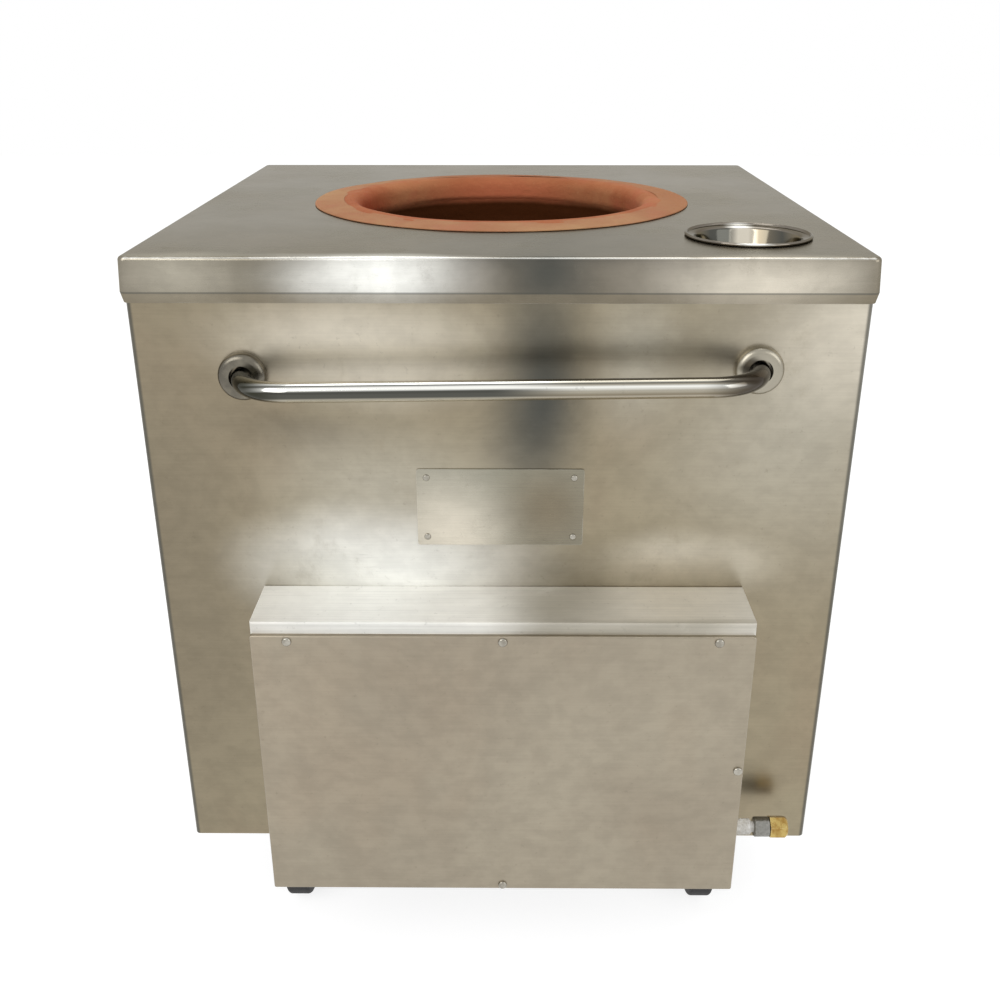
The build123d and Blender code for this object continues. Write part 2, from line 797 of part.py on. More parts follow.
def make_nameplate():
    """Bare metal plate with rounded corners and a hole in each corner."""
    outline = Plane(origin=(front_shift, panel_y, deck_z - plate_drop), x_dir=(1, 0, 0), z_dir=(0, -1, 0))
    plate = extrude(outline * RectangleRounded(plate_width, plate_height, 3), plate_sheet)
    hole = small_shank_radius + sheet_gap
    for x, z in plate_screw_places():
        plate -= rod((x, panel_y - plate_sheet - 1, z), (0, 1, 0), hole, plate_sheet + 2)
    return plate


def make_nameplate_screws():
    """Four small domed screws through the plate and the panel."""
    group = Part()
    for x, z in plate_screw_places():
        start = (x, panel_y - plate_sheet, z)
        group += screw(
            start, (0, -1, 0), small_head_radius, small_head_height, small_shank_radius, small_shank_length
        )
    return group


# ---- control box -------------------------------------------------------------------------------------
def cover_screw_places():
    """(x, z) of the cover's screws: three along the top, one at the right edge, one below."""
    row_z = cover_top - screw_top_inset
    places = [
        (cowl_left + screw_row_inset, row_z),
        (box_shift, row_z),
        (cowl_right - screw_row_inset, row_z),
        (cowl_right - screw_side_inset, cover_top - side_screw_drop),
        (box_shift, cover_bottom + screw_top_inset),
    ]
    return places


def make_control_cowl():
    """Sheet cowl on the front panel: ledge, two walls and turned-in flanges, open below."""
    cowl = block(cowl_left, cowl_right, cowl_y, panel_y, cowl_bottom, cowl_top)
    bends = edges_along(cowl, Axis.X, {"Y": cowl_y, "Z": cowl_top}, {"Y": panel_y, "Z": cowl_top})
    bends += edges_along(cowl, Axis.Z, {"Y": cowl_y})
    cowl = fillet(bends, cowl_bend)
    cowl -= block(
        cowl_left + cowl_sheet, cowl_right - cowl_sheet,
        cowl_y + cowl_sheet, panel_y - cowl_sheet,
        cowl_bottom - 1, cowl_top - cowl_sheet,
    )
    window_top = cover_top - cowl_flange
    cowl -= block(
        cowl_left + cowl_flange, cowl_right - cowl_flange,
        cowl_y - 1, cowl_y + cowl_sheet + 1,
        cowl_bottom + cowl_flange, window_top,
    )
    cowl -= block(
        cowl_left + cowl_flange, cowl_right - cowl_flange,
        panel_y - cowl_sheet - 1, panel_y + 1,
        cowl_bottom - 1, cowl_top - cowl_flange,
    )
    for x, z in cover_screw_places():
        cowl -= rod((x, cowl_y - 1, z), (0, 1, 0), screw_shank_radius + sheet_gap, cowl_sheet + 2)
    pipe_hole = taped_radius + 1
    return cowl - rod((cowl_right - cowl_sheet - 1, gas_y, gas_z), (1, 0, 0), pipe_hole, cowl_sheet + 2)


def make_control_cover():
    """Shallow tray screwed over the front of the cowl, with rounded folds on all four edges."""
    cover = block(cowl_left, cowl_right, cover_y, cowl_y, cover_bottom, cover_top)
    cover = fillet(cover.edges().filter_by(Axis.Y), cover_bend)
    cover = fillet(cover.faces().sort_by(Axis.Y)[0].edges(), cover_bend * 0.9)
    cover -= block(
        cowl_left + cover_sheet, cowl_right - cover_sheet,
        cover_y + cover_sheet, cowl_y + 1,
        cover_bottom + cover_sheet, cover_top - cover_sheet,
    )
    for x, z in cover_screw_places():
        cover -= rod((x, cover_y - 1, z), (0, 1, 0), screw_shank_radius + sheet_gap, cover_sheet + 2)
    return cover


def make_cover_screws():
    """Pan-head screws that hold the cover."""
    group = Part()
    for x, z in cover_screw_places():
        start = (x, cover_y, z)
        group += screw(
            start, (0, -1, 0), screw_head_radius, screw_head_height, screw_shank_radius, screw_shank_length
        )
    return group


# ---- gas train ---------------------------------------------------------------------------------------
def make_inlet_nipple():
    """Pipe nipple through the cowl's right wall, thick with thread tape outside."""
    inner_x = safety_valve_x + valve_size / 2
    outer_x = cowl_right + taped_length + collar_groove
    nipple = rod((inner_x, gas_y, gas_z), (1, 0, 0), pipe_radius, outer_x - inner_x)
    tape_x = cowl_right + 1.5
    tape = rod((tape_x, gas_y, gas_z), (1, 0, 0), taped_radius, taped_length - 3)
    tape = chamfer(tape.faces().sort_by(Axis.X)[0].edges(), 1.5)
    return nipple + tape - rod((inner_x - 1, gas_y, gas_z), (1, 0, 0), pipe_bore, outer_x - inner_x + 2)


def make_inlet_locknut():
    """Hexagonal nut that clamps the nipple to the cowl from inside."""
    start_x = cowl_right - cowl_sheet - locknut_height
    nut = hexagon((start_x, gas_y, gas_z), (1, 0, 0), locknut_flats, locknut_height)
    return nut - rod((start_x - 1, gas_y, gas_z), (1, 0, 0), pipe_radius + 0.1, locknut_height + 2)


def make_inlet_collar():
    """Plain steel collar screwed on the nipple's end."""
    start_x = cowl_right + taped_length + collar_groove
    collar = rod((start_x, gas_y, gas_z), (1, 0, 0), collar_radius, collar_length)
    collar = chamfer(collar.edges().filter_by(GeomType.CIRCLE), 1.2)
    return collar - rod((start_x - 1, gas_y, gas_z), (1, 0, 0), pipe_bore, collar_length + 2)


def make_inlet_union():
    """Brass hexagonal connector with a chamfered end and a threaded socket for the gas hose."""
    start_x = cowl_right + taped_length + collar_groove + collar_length
    end_x = start_x + brass_length
    body = hexagon((start_x, gas_y, gas_z), (1, 0, 0), brass_flats, brass_length)
    cone_radius = brass_flats / 2
    outline = [
        (0, 0),
        (cone_radius * 1.2, 0),
        (cone_radius * 1.2, brass_length - cone_radius * 0.35),
        (cone_radius * 0.92, brass_length),
        (0, brass_length),
    ]
    body &= Pos(start_x, gas_y, gas_z) * Rot(0, 90, 0) * spun_polygon(outline)
    body -= rod((start_x - 1, gas_y, gas_z), (1, 0, 0), pipe_bore, brass_length)
    return body - rod((end_x, gas_y, gas_z), (-1, 0, 0), inlet_bore_radius, inlet_bore_length)


def make_safety_valve():
    """Flame-failure valve body with a guide below for its reset button."""
    half = valve_size / 2
    top_z = gas_z + valve_rise
    low_z = gas_z - valve_fall
    deep = valve_depth / 2
    valve = block(safety_valve_x - half, safety_valve_x + half, gas_y - deep, gas_y + deep, low_z, top_z)
    valve = fillet(valve.edges().filter_by(Axis.Z), 6)
    valve = chamfer(valve.faces().sort_by(Axis.Z)[-1].edges(), 3)
    hole = button_radius + stem_clearance
    return valve - rod((safety_valve_x, gas_y, low_z), (0, 0, 1), hole, button_length)


def make_reset_button():
    """Push rod and cap under the safety valve; it is pressed upwards."""
    low_z = gas_z - valve_fall
    cap_z = low_z - button_stroke - seam_gap - button_cap_height
    rod_length = button_cap_height + button_stroke + seam_gap + button_length - button_stroke - 3
    button = rod((safety_valve_x, gas_y, cap_z), (0, 0, 1), button_radius, rod_length)
    cap = rod((safety_valve_x, gas_y, cap_z), (0, 0, 1), button_cap_radius, button_cap_height)
    cap = fillet(cap.faces().sort_by(Axis.Z)[0].edges(), 1.5)
    return button + cap


def make_gas_cock():
    """Plug cock between the safety valve and the orifice line, with its stem's gland below."""
    half = cock_length / 2
    body = rod((gas_cock_x - half, gas_y, gas_z), (1, 0, 0), cock_radius * 0.75, cock_length)
    gland_z = gas_z - cock_radius
    body += rod((gas_cock_x, gas_y, gland_z), (0, 0, 1), cock_radius * 0.8, 2 * cock_radius)
    hole = stem_radius + stem_clearance
    return body - rod((gas_cock_x, gas_y, gland_z - 1), (0, 0, 1), hole, stem_length + 1)


def make_gas_knob():
    """Knob with a pointer ridge and a stem that turns in the cock's gland."""
    gland_z = gas_z - cock_radius
    top_z = gland_z - seam_gap
    knob = rod((gas_cock_x, gas_y, top_z - knob_height), (0, 0, 1), knob_radius, knob_height)
    knob = fillet(knob.faces().sort_by(Axis.Z)[0].edges(), 2)
    ridge = block(
        gas_cock_x - 2.5, gas_cock_x + 2.5, gas_y - knob_radius + 3, gas_y + knob_radius - 3,
        top_z - knob_height - 5, top_z - knob_height + 1,
    )
    stem = rod((gas_cock_x, gas_y, top_z - 1), (0, 0, 1), stem_radius, seam_gap + stem_length - 1)
    return knob + ridge + stem


def make_manifold_pipe():
    """Pipe from the safety valve to the cock and on to the orifice in front of the mixing tube."""
    half = cock_length / 2
    link_x = gas_cock_x + half
    link_length = safety_valve_x - valve_size / 2 - link_x
    link = rod((link_x, gas_y, gas_z), (1, 0, 0), pipe_radius, link_length)
    link -= rod((link_x - 1, gas_y, gas_z), (1, 0, 0), pipe_bore, link_length + 2)
    orifice_y = mixer_front_y - orifice_length - 2
    points = [
        (gas_cock_x - half, gas_y, gas_z),
        (gas_cock_x - half - 30, gas_y, gas_z),
        (0, orifice_y - 14, mixer_z),
        (0, orifice_y, mixer_z),
    ]
    return link + pipe(points, pipe_radius, 11, pipe_bore)


def make_gas_orifice():
    """Brass jet that points into the mixing tube."""
    start_y = mixer_front_y - orifice_length - 2
    jet = hexagon((0, start_y, mixer_z), (0, 1, 0), orifice_flats, orifice_length * 0.6)
    jet += rod((0, start_y, mixer_z), (0, 1, 0), orifice_flats * 0.32, orifice_length)
    return jet - rod((0, start_y - 1, mixer_z), (0, 1, 0), 1.0, orifice_length + 2)


def make_pilot_burner():
    """Small pilot head on a clip beside the main burner."""
    pilot_x, pilot_y = pilot_place()
    head = rod((pilot_x, pilot_y, mixer_z - 6), (0, 0, 1), pilot_head_radius, pilot_head_length)
    foot = rod((pilot_x, pilot_y, base_top), (0, 0, 1), 3, mixer_z - 6 - base_top)
    return head + foot


def pilot_place():
    """(x, y) of the pilot head, to the right of the burner's front."""
    return (burner_radius * 0.62, pot_y - burner_radius - 12)


def make_pilot_tube():
    """Thin tube from the safety valve through the window to the pilot head."""
    pilot_x, pilot_y = pilot_place()
    top_z = gas_z + valve_rise
    run_z = top_z + pilot_rise
    start_x = safety_valve_x - valve_port_spread
    points = [
        (start_x, gas_y, top_z),
        (start_x, gas_y, run_z),
        (pilot_x, gas_y, run_z),
        (pilot_x, pilot_y - pilot_head_radius, run_z),
    ]
    return pipe(points, pilot_radius, lead_bend, pilot_radius * 0.5)


def make_thermocouple_lead():
    """Copper lead from the pilot head back to the safety valve."""
    pilot_x, pilot_y = pilot_place()
    top_z = gas_z + valve_rise
    run_z = top_z + pilot_rise - lead_drop
    start_x = safety_valve_x + valve_port_spread
    start_y = gas_y + valve_port_spread
    beside_x = pilot_x + pilot_head_radius + lead_bend
    points = [
        (start_x, start_y, top_z),
        (start_x, start_y, run_z),
        (beside_x, start_y, run_z),
        (beside_x, pilot_y, run_z),
        (pilot_x + pilot_head_radius, pilot_y, run_z),
    ]
    return pipe(points, lead_radius, lead_bend * 0.7)


# ---- casters -----------------------------------------------------------------------------------------
def bolt_places():
    """(x, y) of every bolt of the four caster plates."""
    half_x = plate_bolt_x / 2
    half_y = plate_bolt_y / 2
    signs = [(-1, -1), (-1, 1), (1, -1), (1, 1)]
    return [(x + sx * half_x, y + sy * half_y) for x, y in corners.values() for sx, sy in signs]


def make_caster_plates():
    """Mounting plate, upper race and king pin of each caster."""
    plates = Part()
    for x, y in corners.values():
        low_z = caster_height - plate_steel
        half_x = plate_breadth / 2
        half_y = plate_length / 2
        plate = block(x - half_x, x + half_x, y - half_y, y + half_y, low_z, caster_height)
        plate = fillet(plate.edges().filter_by(Axis.Z), 8)
        plate += rod((x, y, low_z), (0, 0, -1), race_radius, race_height)
        pin_length = race_height + race_gap + crown_steel + race_gap + king_head_height
        plate += rod((x, y, low_z), (0, 0, -1), king_pin_radius, pin_length)
        head_top = crown_bottom - race_gap
        plate += rod((x, y, head_top), (0, 0, -1), king_head_radius, king_head_height)
        for bolt_x, bolt_y in bolt_places():
            if abs(bolt_x - x) < half_x and abs(bolt_y - y) < half_y:
                hole = bolt_radius + bolt_hole_clearance
                plate -= rod((bolt_x, bolt_y, low_z - 1), (0, 0, 1), hole, plate_steel + 2)
        plates += plate
    return plates


def make_caster_bolts():
    """Bolts up through the plates and rails, with their nuts inside the rails."""
    group = Part()
    low_z = caster_height - plate_steel
    rail_top = caster_height + rail_steel
    length = plate_steel + rail_steel + nut_height + 3
    for x, y in bolt_places():
        bolt = hexagon((x, y, low_z - bolt_head_height), (0, 0, 1), bolt_flats, bolt_head_height)
        bolt += rod((x, y, low_z), (0, 0, 1), bolt_radius, length)
        nut = hexagon((x, y, rail_top), (0, 0, 1), nut_flats, nut_height)
        group += bolt
        group += nut - rod((x, y, rail_top - 1), (0, 0, 1), bolt_radius + 0.1, nut_height + 2)
    return group


def make_fork(x, y, braked):
    """Crown and two legs that trail forwards to the axle; a braked fork also carries the pedal's pin."""
    axle_y = y - caster_trail
    half = fork_half + fork_steel
    crown = rod((x, y, crown_bottom), (0, 0, 1), crown_radius, crown_steel)
    crown += block(x - half, x + half, y - crown_radius, y + crown_radius * 0.4, crown_bottom, crown_top)
    fork = crown
    for side in (-1, 1):
        foot = (axle_y, wheel_radius)
        leg = make_hull(
            [
                *Line((y + crown_radius * 0.4, crown_top), (y - crown_radius - 34, crown_top)).edges(),
                *(Pos(*foot) * Circle(fork_boss_radius)).edges(),
            ]
        )
        start_x = x + side * fork_half
        plane = Plane(origin=(start_x, 0, 0), x_dir=(0, 1, 0), z_dir=(1, 0, 0))
        fork += extrude(plane * leg, side * fork_steel)
    fork -= rod((x, y, crown_bottom - 1), (0, 0, 1), king_pin_radius + running_clearance, crown_steel + 2)
    axle_hole = axle_radius + 0.25
    fork -= rod((x - half - 1, axle_y, wheel_radius), (1, 0, 0), axle_hole, 2 * half + 2)
    if braked:
        pin_y = y - brake_pivot_forward
        fork += rod((x - half, pin_y, brake_pivot_height), (1, 0, 0), brake_pin_radius, 2 * half)
    return fork


def make_axle(x, y):
    """Axle bolt, the bush that it clamps between the legs, and its nut."""
    axle_y = y - caster_trail
    half = fork_half + fork_steel
    head_x = x - half - axle_nut_height
    bolt = hexagon((head_x, axle_y, wheel_radius), (1, 0, 0), axle_nut_flats, axle_nut_height)
    bolt += rod((x - half, axle_y, wheel_radius), (1, 0, 0), axle_radius, 2 * half + axle_nut_height + 2)
    hole = rod((x - half, axle_y, wheel_radius), (1, 0, 0), axle_radius + 0.1, 2 * half + 20)
    nut = hexagon((x + half, axle_y, wheel_radius), (1, 0, 0), axle_nut_flats, axle_nut_height) - hole
    bush = rod((x - fork_half, axle_y, wheel_radius), (1, 0, 0), bush_radius, 2 * fork_half) - hole
    group = Part()
    for piece in (bolt, nut, bush):
        group += piece
    return group


def make_wheel(x, y):
    """Moulded wheel: hub, thin web with round pockets, and the rim that carries the tread."""
    axle_y = y - caster_trail
    rim_radius_out = wheel_radius - tread_thickness
    half = wheel_width / 2 - 1
    rim_inner = rim_radius_out - 6
    outline = [
        (bush_radius + running_clearance, -fork_half + 0.4),
        (hub_radius, -fork_half + 0.4),
        (hub_radius + 1.5, -5),
        (rim_inner, -5),
        (rim_inner + 1.5, -half),
        (rim_radius_out, -half),
        (rim_radius_out, half),
        (rim_inner + 1.5, half),
        (rim_inner, 5),
        (hub_radius + 1.5, 5),
        (hub_radius, fork_half - 0.4),
        (bush_radius + running_clearance, fork_half - 0.4),
    ]
    wheel = spun_polygon(outline)
    pocket_circle = (hub_radius + rim_inner) / 2
    for i in range(6):
        spin = radians(60 * i)
        pocket = Pos(pocket_circle * cos(spin), pocket_circle * sin(spin), 0) * Cylinder(7, 12)
        wheel -= pocket
    return Pos(x, axle_y, wheel_radius) * Rot(0, 90, 0) * wheel


def make_tread(x, y):
    """Rubber tyre bonded to the wheel's rim, with rounded shoulders."""
    axle_y = y - caster_trail
    inner = wheel_radius - tread_thickness
    half = wheel_width / 2
    tyre = Cylinder(wheel_radius, wheel_width)
    tyre = fillet(tyre.edges().filter_by(GeomType.CIRCLE), 5)
    tyre -= Cylinder(inner, 2 * half + 2)
    return Pos(x, axle_y, wheel_radius) * Rot(0, 90, 0) * tyre


def make_brake_pedal(x, y):
    """Foot pedal on the fork's pin, with a shoe that comes down on the tread."""
    pin_y = y - brake_pivot_forward
    pin_z = brake_pivot_height
    half = fork_half - 1
    hub = rod((x - half, pin_y, pin_z), (1, 0, 0), brake_hub_radius, 2 * half)
    tip_y = pin_y - brake_reach
    plate_z = pin_z + brake_hub_radius - brake_steel
    plate = block(x - half, x + half, tip_y, pin_y, plate_z, plate_z + brake_steel)
    plate = fillet(edges_along(plate, Axis.Z, {"Y": tip_y}), 6)
    shoe_y = pin_y - brake_shoe_offset
    wheel_offset = caster_trail - brake_pivot_forward - brake_shoe_offset
    tread_top = wheel_radius + sqrt(wheel_radius**2 - (abs(wheel_offset) - 5) ** 2)
    shoe_z = tread_top + brake_gap + (brake_shoe_offset + 5) * sin(radians(brake_travel))
    shoe = block(x - half * 0.7, x + half * 0.7, shoe_y - 5, shoe_y + 5, shoe_z, plate_z + 1)
    bore = rod((x - half - 1, pin_y, pin_z), (1, 0, 0), brake_pin_radius + running_clearance, 2 * half + 2)
    return hub + plate + shoe - bore


# ---- all the pieces ----------------------------------------------------------------------------------
def make_parts():
    """Every node's name and shape."""
    parts = {
        "top_deck": make_top_deck(),
        "front_panel": make_front_panel(),
        "rear_panel": make_rear_panel(),
        "left_panel": make_side_panel(-1),
        "right_panel": make_side_panel(1),
        "corner_posts": make_corner_posts(),
        "panel_rivets": make_panel_rivets(),
        "base_frame": make_base_frame(),
        "caster_rails": make_caster_rails(),
        "base_plate": make_base_plate(),
        "pot_stand": make_pot_stand(),
        "clay_pot": make_clay_pot(),
        "rim_collar": make_rim_collar(),
        "insulation_jacket": make_insulation_jacket(),
        "burner_head": make_burner_head(),
        "mixing_tube": make_mixing_tube(),
        "air_shutter": make_air_shutter(),
        "flame_spreader": make_flame_spreader(),
        "bowl": make_bowl(),
        "handle_bar": make_handle_bar(),
        "handle_flanges": make_handle_flanges(),
        "handle_nuts": make_handle_nuts(),
        "nameplate": make_nameplate(),
        "nameplate_screws": make_nameplate_screws(),
        "control_cowl": make_control_cowl(),
        "control_cover": make_control_cover(),
        "cover_screws": make_cover_screws(),
        "inlet_nipple": make_inlet_nipple(),
        "inlet_locknut": make_inlet_locknut(),
        "inlet_collar": make_inlet_collar(),
        "inlet_union": make_inlet_union(),
        "safety_valve": make_safety_valve(),
        "reset_button": make_reset_button(),
        "gas_cock": make_gas_cock(),
        "gas_knob": make_gas_knob(),
        "manifold_pipe": make_manifold_pipe(),
        "gas_orifice": make_gas_orifice(),
        "pilot_burner": make_pilot_burner(),
        "pilot_tube": make_pilot_tube(),
        "thermocouple_lead": make_thermocouple_lead(),
        "caster_plates": make_caster_plates(),
        "caster_bolts": make_caster_bolts(),
    }
    for place, (x, y) in corners.items():
        braked = place.startswith("front")
        parts["fork_" + place] = make_fork(x, y, braked)
        parts["axle_" + place] = make_axle(x, y)
        parts["wheel_" + place] = make_wheel(x, y)
        parts["tread_" + place] = make_tread(x, y)
        if braked:
            parts["brake_" + place] = make_brake_pedal(x, y)
    return parts


os.makedirs("parts", exist_ok=True)
for name, shape in make_parts().items():
    export_step(shape, f"parts/{name}.step")
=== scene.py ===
import math

import bmesh
import bpy
import numpy as np
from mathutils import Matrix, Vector


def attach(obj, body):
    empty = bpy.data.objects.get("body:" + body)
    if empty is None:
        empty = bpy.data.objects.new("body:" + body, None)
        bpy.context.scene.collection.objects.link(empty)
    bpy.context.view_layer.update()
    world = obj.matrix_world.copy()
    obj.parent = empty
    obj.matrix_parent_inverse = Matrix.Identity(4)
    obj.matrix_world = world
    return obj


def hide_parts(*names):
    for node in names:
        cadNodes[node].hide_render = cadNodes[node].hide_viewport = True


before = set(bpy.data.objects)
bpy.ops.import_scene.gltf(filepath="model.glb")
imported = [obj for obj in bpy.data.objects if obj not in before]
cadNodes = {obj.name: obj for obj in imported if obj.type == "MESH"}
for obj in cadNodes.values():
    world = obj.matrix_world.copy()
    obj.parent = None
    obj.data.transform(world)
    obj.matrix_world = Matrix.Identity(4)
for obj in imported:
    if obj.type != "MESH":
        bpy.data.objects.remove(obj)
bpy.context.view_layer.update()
print("frame loaded with", len(cadNodes), "CAD nodes")

# camera first: it stands a little above the deck and looks down at the front
cameraLook = {
    "place": (0.0092, -1.5526, 1.1588),
    "yaw": -0.382,  # degrees, right of straight ahead
    "pitch": 23.311,  # degrees, downwards
    "lens": 40.32,
    "sensor": 36.0,
}


def newObject(name, data):
    made = bpy.data.objects.new(name, data)
    bpy.context.collection.objects.link(made)
    return made


def aim(thing, place, direction):
    # stands at the place and looks along the direction, with its top side up
    thing.location = place
    thing.rotation_mode = "QUATERNION"
    thing.rotation_quaternion = direction.to_track_quat("-Z", "Y")


def makeCamera(look):
    # looks along y, turned by the yaw and tilted down by the pitch
    yaw, pitch = math.radians(look["yaw"]), math.radians(look["pitch"])
    ahead = Vector((math.sin(yaw) * math.cos(pitch), math.cos(yaw) * math.cos(pitch), -math.sin(pitch)))
    data = bpy.data.cameras.new("viewCamera")
    data.lens = look["lens"]
    data.sensor_width = look["sensor"]
    camera = newObject("viewCamera", data)
    aim(camera, look["place"], ahead)
    bpy.context.scene.camera = camera


makeCamera(cameraLook)
print("camera placed")


# node helpers
def newMaterial(name):
    # gives the material, its nodes, its shader and the place on the object that patterns are laid by
    material = bpy.data.materials.new(name)
    material.use_nodes = True
    tree = material.node_tree
    shader = tree.nodes["Principled BSDF"]
    place = addNode(tree, "ShaderNodeTexCoord").outputs["Object"]
    return material, tree, shader, place


def feed(tree, socket, value):
    # a socket is linked, anything else becomes the default value; a bare colour gets its alpha
    if isinstance(value, bpy.types.NodeSocket):
        tree.links.new(value, socket)
    elif socket.type == "RGBA" and not isinstance(value, (int, float)) and len(value) == 3:
        socket.default_value = (*value, 1.0)
    else:
        socket.default_value = value


def addNode(tree, kind, inputs=None, **settings):
    node = tree.nodes.new(kind)
    for key, value in settings.items():
        setattr(node, key, value)
    for key, value in (inputs or {}).items():
        feed(tree, node.inputs[key], value)
    return node


def mathNode(tree, operation, a, b=0.0):
    node = addNode(tree, "ShaderNodeMath", operation=operation)
    feed(tree, node.inputs[0], a)
    feed(tree, node.inputs[1], b)
    return node.outputs[0]


def mixColour(tree, factor, a, b, blend="MIX"):
    node = addNode(tree, "ShaderNodeMix", data_type="RGBA", blend_type=blend, clamp_factor=True)
    feed(tree, node.inputs[0], factor)
    feed(tree, node.inputs[6], a)
    feed(tree, node.inputs[7], b)
    return node.outputs[2]


def tinted(tree, colour, mask, share, tint):
    # the tint laid over the colour where the mask is, at a share of its strength
    return mixColour(tree, mathNode(tree, "MULTIPLY", mask, share), colour, tint)


def raised(tree, base, mask, amount):
    # base + mask * amount
    return mathNode(tree, "ADD", base, mathNode(tree, "MULTIPLY", mask, amount))


def vectorNode(tree, operation, a, b, output=0):
    return addNode(tree, "ShaderNodeVectorMath", {0: a, 1: b}, operation=operation).outputs[output]


def dotNode(tree, a, b):
    return vectorNode(tree, "DOT_PRODUCT", a, b, "Value")


def stretched(tree, place, scale, shift=(0.0, 0.0, 0.0)):
    inputs = {"Vector": place, "Scale": scale, "Location": shift}
    return addNode(tree, "ShaderNodeMapping", inputs).outputs[0]


def noise(tree, place, scale, detail=4.0, rough=0.55, twist=0.0, output="Fac"):
    inputs = {"Vector": place, "Scale": scale, "Detail": detail, "Roughness": rough, "Distortion": twist}
    return addNode(tree, "ShaderNodeTexNoise", inputs).outputs[output]


def between(tree, value, low, high, to=(0.0, 1.0)):
    # smooth step from low to high, mapped onto the pair in to
    inputs = {"Value": value, "From Min": low, "From Max": high, "To Min": to[0], "To Max": to[1]}
    return addNode(tree, "ShaderNodeMapRange", inputs, interpolation_type="SMOOTHSTEP").outputs[0]


def spot(tree, place, centre, size):
    # 1 at the centre and 0 on an ellipsoid of that half size, falling smoothly
    inputs = {"Vector": place, "Location": centre, "Scale": size}
    local = addNode(tree, "ShaderNodeMapping", inputs, vector_type="TEXTURE").outputs[0]
    ball = addNode(tree, "ShaderNodeTexGradient", {"Vector": local}, gradient_type="SPHERICAL")
    return between(tree, ball.outputs["Fac"], 0.0, 1.0)


def stripe(tree, place, direction, low, high, fade):
    # 1 where the distance along a direction is between low and high, fading to 0 outside them
    along = dotNode(tree, place, direction)
    above = between(tree, along, low - fade, low)
    below = between(tree, along, high, high + fade, (1.0, 0.0))
    return mathNode(tree, "MULTIPLY", above, below)


def bump(tree, height, strength, distance, under=None):
    inputs = {"Height": height, "Strength": strength, "Distance": distance}
    if under is not None:
        inputs["Normal"] = under
    return addNode(tree, "ShaderNodeBump", inputs).outputs[0]


edgeReach = 0.0014  # how far from an edge the metal is rubbed


def wear(tree, place, amount, scale):
    # near an edge the rounded normal leaves the flat one: rubbed metal, broken up by noise
    flat = addNode(tree, "ShaderNodeNewGeometry").outputs["Normal"]
    rounded = addNode(tree, "ShaderNodeBevel", {"Radius": edgeReach}, samples=4).outputs[0]
    edge = between(tree, dotNode(tree, flat, rounded), 0.99, 0.75)
    patchy = between(tree, noise(tree, place, scale, 5), 0.35, 0.6)
    return mathNode(tree, "MULTIPLY", mathNode(tree, "MULTIPLY", edge, patchy), amount)


# sheet steel with a fine grain, cloudy stains, painted reflections and painted shade and highlight lines
def satinSteel(name, look):
    material, tree, shader, place = newMaterial(name)
    drift = noise(tree, place, look["driftScale"], 2, output="Color")
    half = vectorNode(tree, "SUBTRACT", drift, (0.5, 0.5, 0.5))
    scaled = {0: half, "Scale": look["drift"]}
    push = addNode(tree, "ShaderNodeVectorMath", scaled, operation="SCALE").outputs[0]
    bent = vectorNode(tree, "ADD", place, push)
    cloud = between(tree, noise(tree, bent, look["cloudScale"], 3, 0.55), 0.25, 0.75)
    colour = mixColour(tree, cloud, look["dark"], look["pale"])
    warmPlace = stretched(tree, bent, (1, 1, 0.6), (3, 1, 2))
    warmth = between(tree, noise(tree, warmPlace, look["warmScale"], 3), 0.45, 0.7)
    colour = tinted(tree, colour, warmth, look["warmShare"], look["warm"])
    # painted reflections and painted shade, laid into the colour in soft places
    for centre, size, tint, share in look["paintedLight"]:
        colour = tinted(tree, colour, spot(tree, bent, centre, size), share, tint)
    # painted shade lines and painted highlight lines along bends and folds
    for direction, low, high, fade, tint, share in look["paintedLines"]:
        colour = tinted(tree, colour, stripe(tree, place, direction, low, high, fade), share, tint)
    mottle = noise(tree, stretched(tree, bent, (1, 1, 1.3)), look["mottleScale"], 3, 0.6)
    blotch = between(tree, mottle, 0.3, 0.7, (1.0 - look["mottle"], 1.0 + look["mottle"]))
    colour = mixColour(tree, 1.0, colour, blotch, "MULTIPLY")
    smear = noise(tree, stretched(tree, bent, (1, 1, 0.7)), look["smudgeScale"], 8, 0.72)
    smudge = mathNode(tree, "MULTIPLY", between(tree, smear, 0.54, 0.74), look["smudge"])
    colour = mixColour(tree, smudge, colour, look["dark"])
    fleck = between(tree, noise(tree, place, look["fleckScale"], 3, 0.8), 0.62, 0.72)
    colour = tinted(tree, colour, fleck, look["fleck"], look["fleckColour"])
    grain = noise(tree, stretched(tree, place, look["grain"]), 1.0, 3, 0.7)
    shade = between(tree, grain, 0.2, 0.8, (1.0 - look["grainShade"], 1.0 + look["grainShade"]))
    colour = mixColour(tree, 1.0, colour, shade, "MULTIPLY")
    worn = wear(tree, place, look["edge"], look["wearScale"])
    feed(tree, shader.inputs["Base Color"], mixColour(tree, worn, colour, look["edgeColour"]))
    rough = raised(tree, look["rough"], cloud, look["cloudRough"])
    rough = raised(tree, rough, smudge, look["smudgeRough"])
    feed(tree, shader.inputs["Roughness"], raised(tree, rough, grain, look["grainRough"]))
    metal = look["metal"]
    for centre, size, share in look["hazy"]:  # milky places show less of what they mirror
        haze = mathNode(tree, "MULTIPLY", spot(tree, place, centre, size), share)
        metal = mathNode(tree, "MULTIPLY", metal, mathNode(tree, "SUBTRACT", 1.0, haze))
    feed(tree, shader.inputs["Metallic"], metal)
    feed(tree, shader.inputs["Specular Tint"], look["grazing"])
    waves = noise(tree, bent, look["waveScale"], 2)
    soft = bump(tree, waves, 0.5, look["waviness"])
    feed(tree, shader.inputs["Normal"], bump(tree, grain, 0.5, look["grainDepth"], soft))
    return material


def onUpright(y, depth, rows):
    # places on an upright face at y: each row is x, z, half width, half height, colour, share
    return [((x, y, z), (wide, depth, high), tint, share) for x, z, wide, high, tint, share in rows]
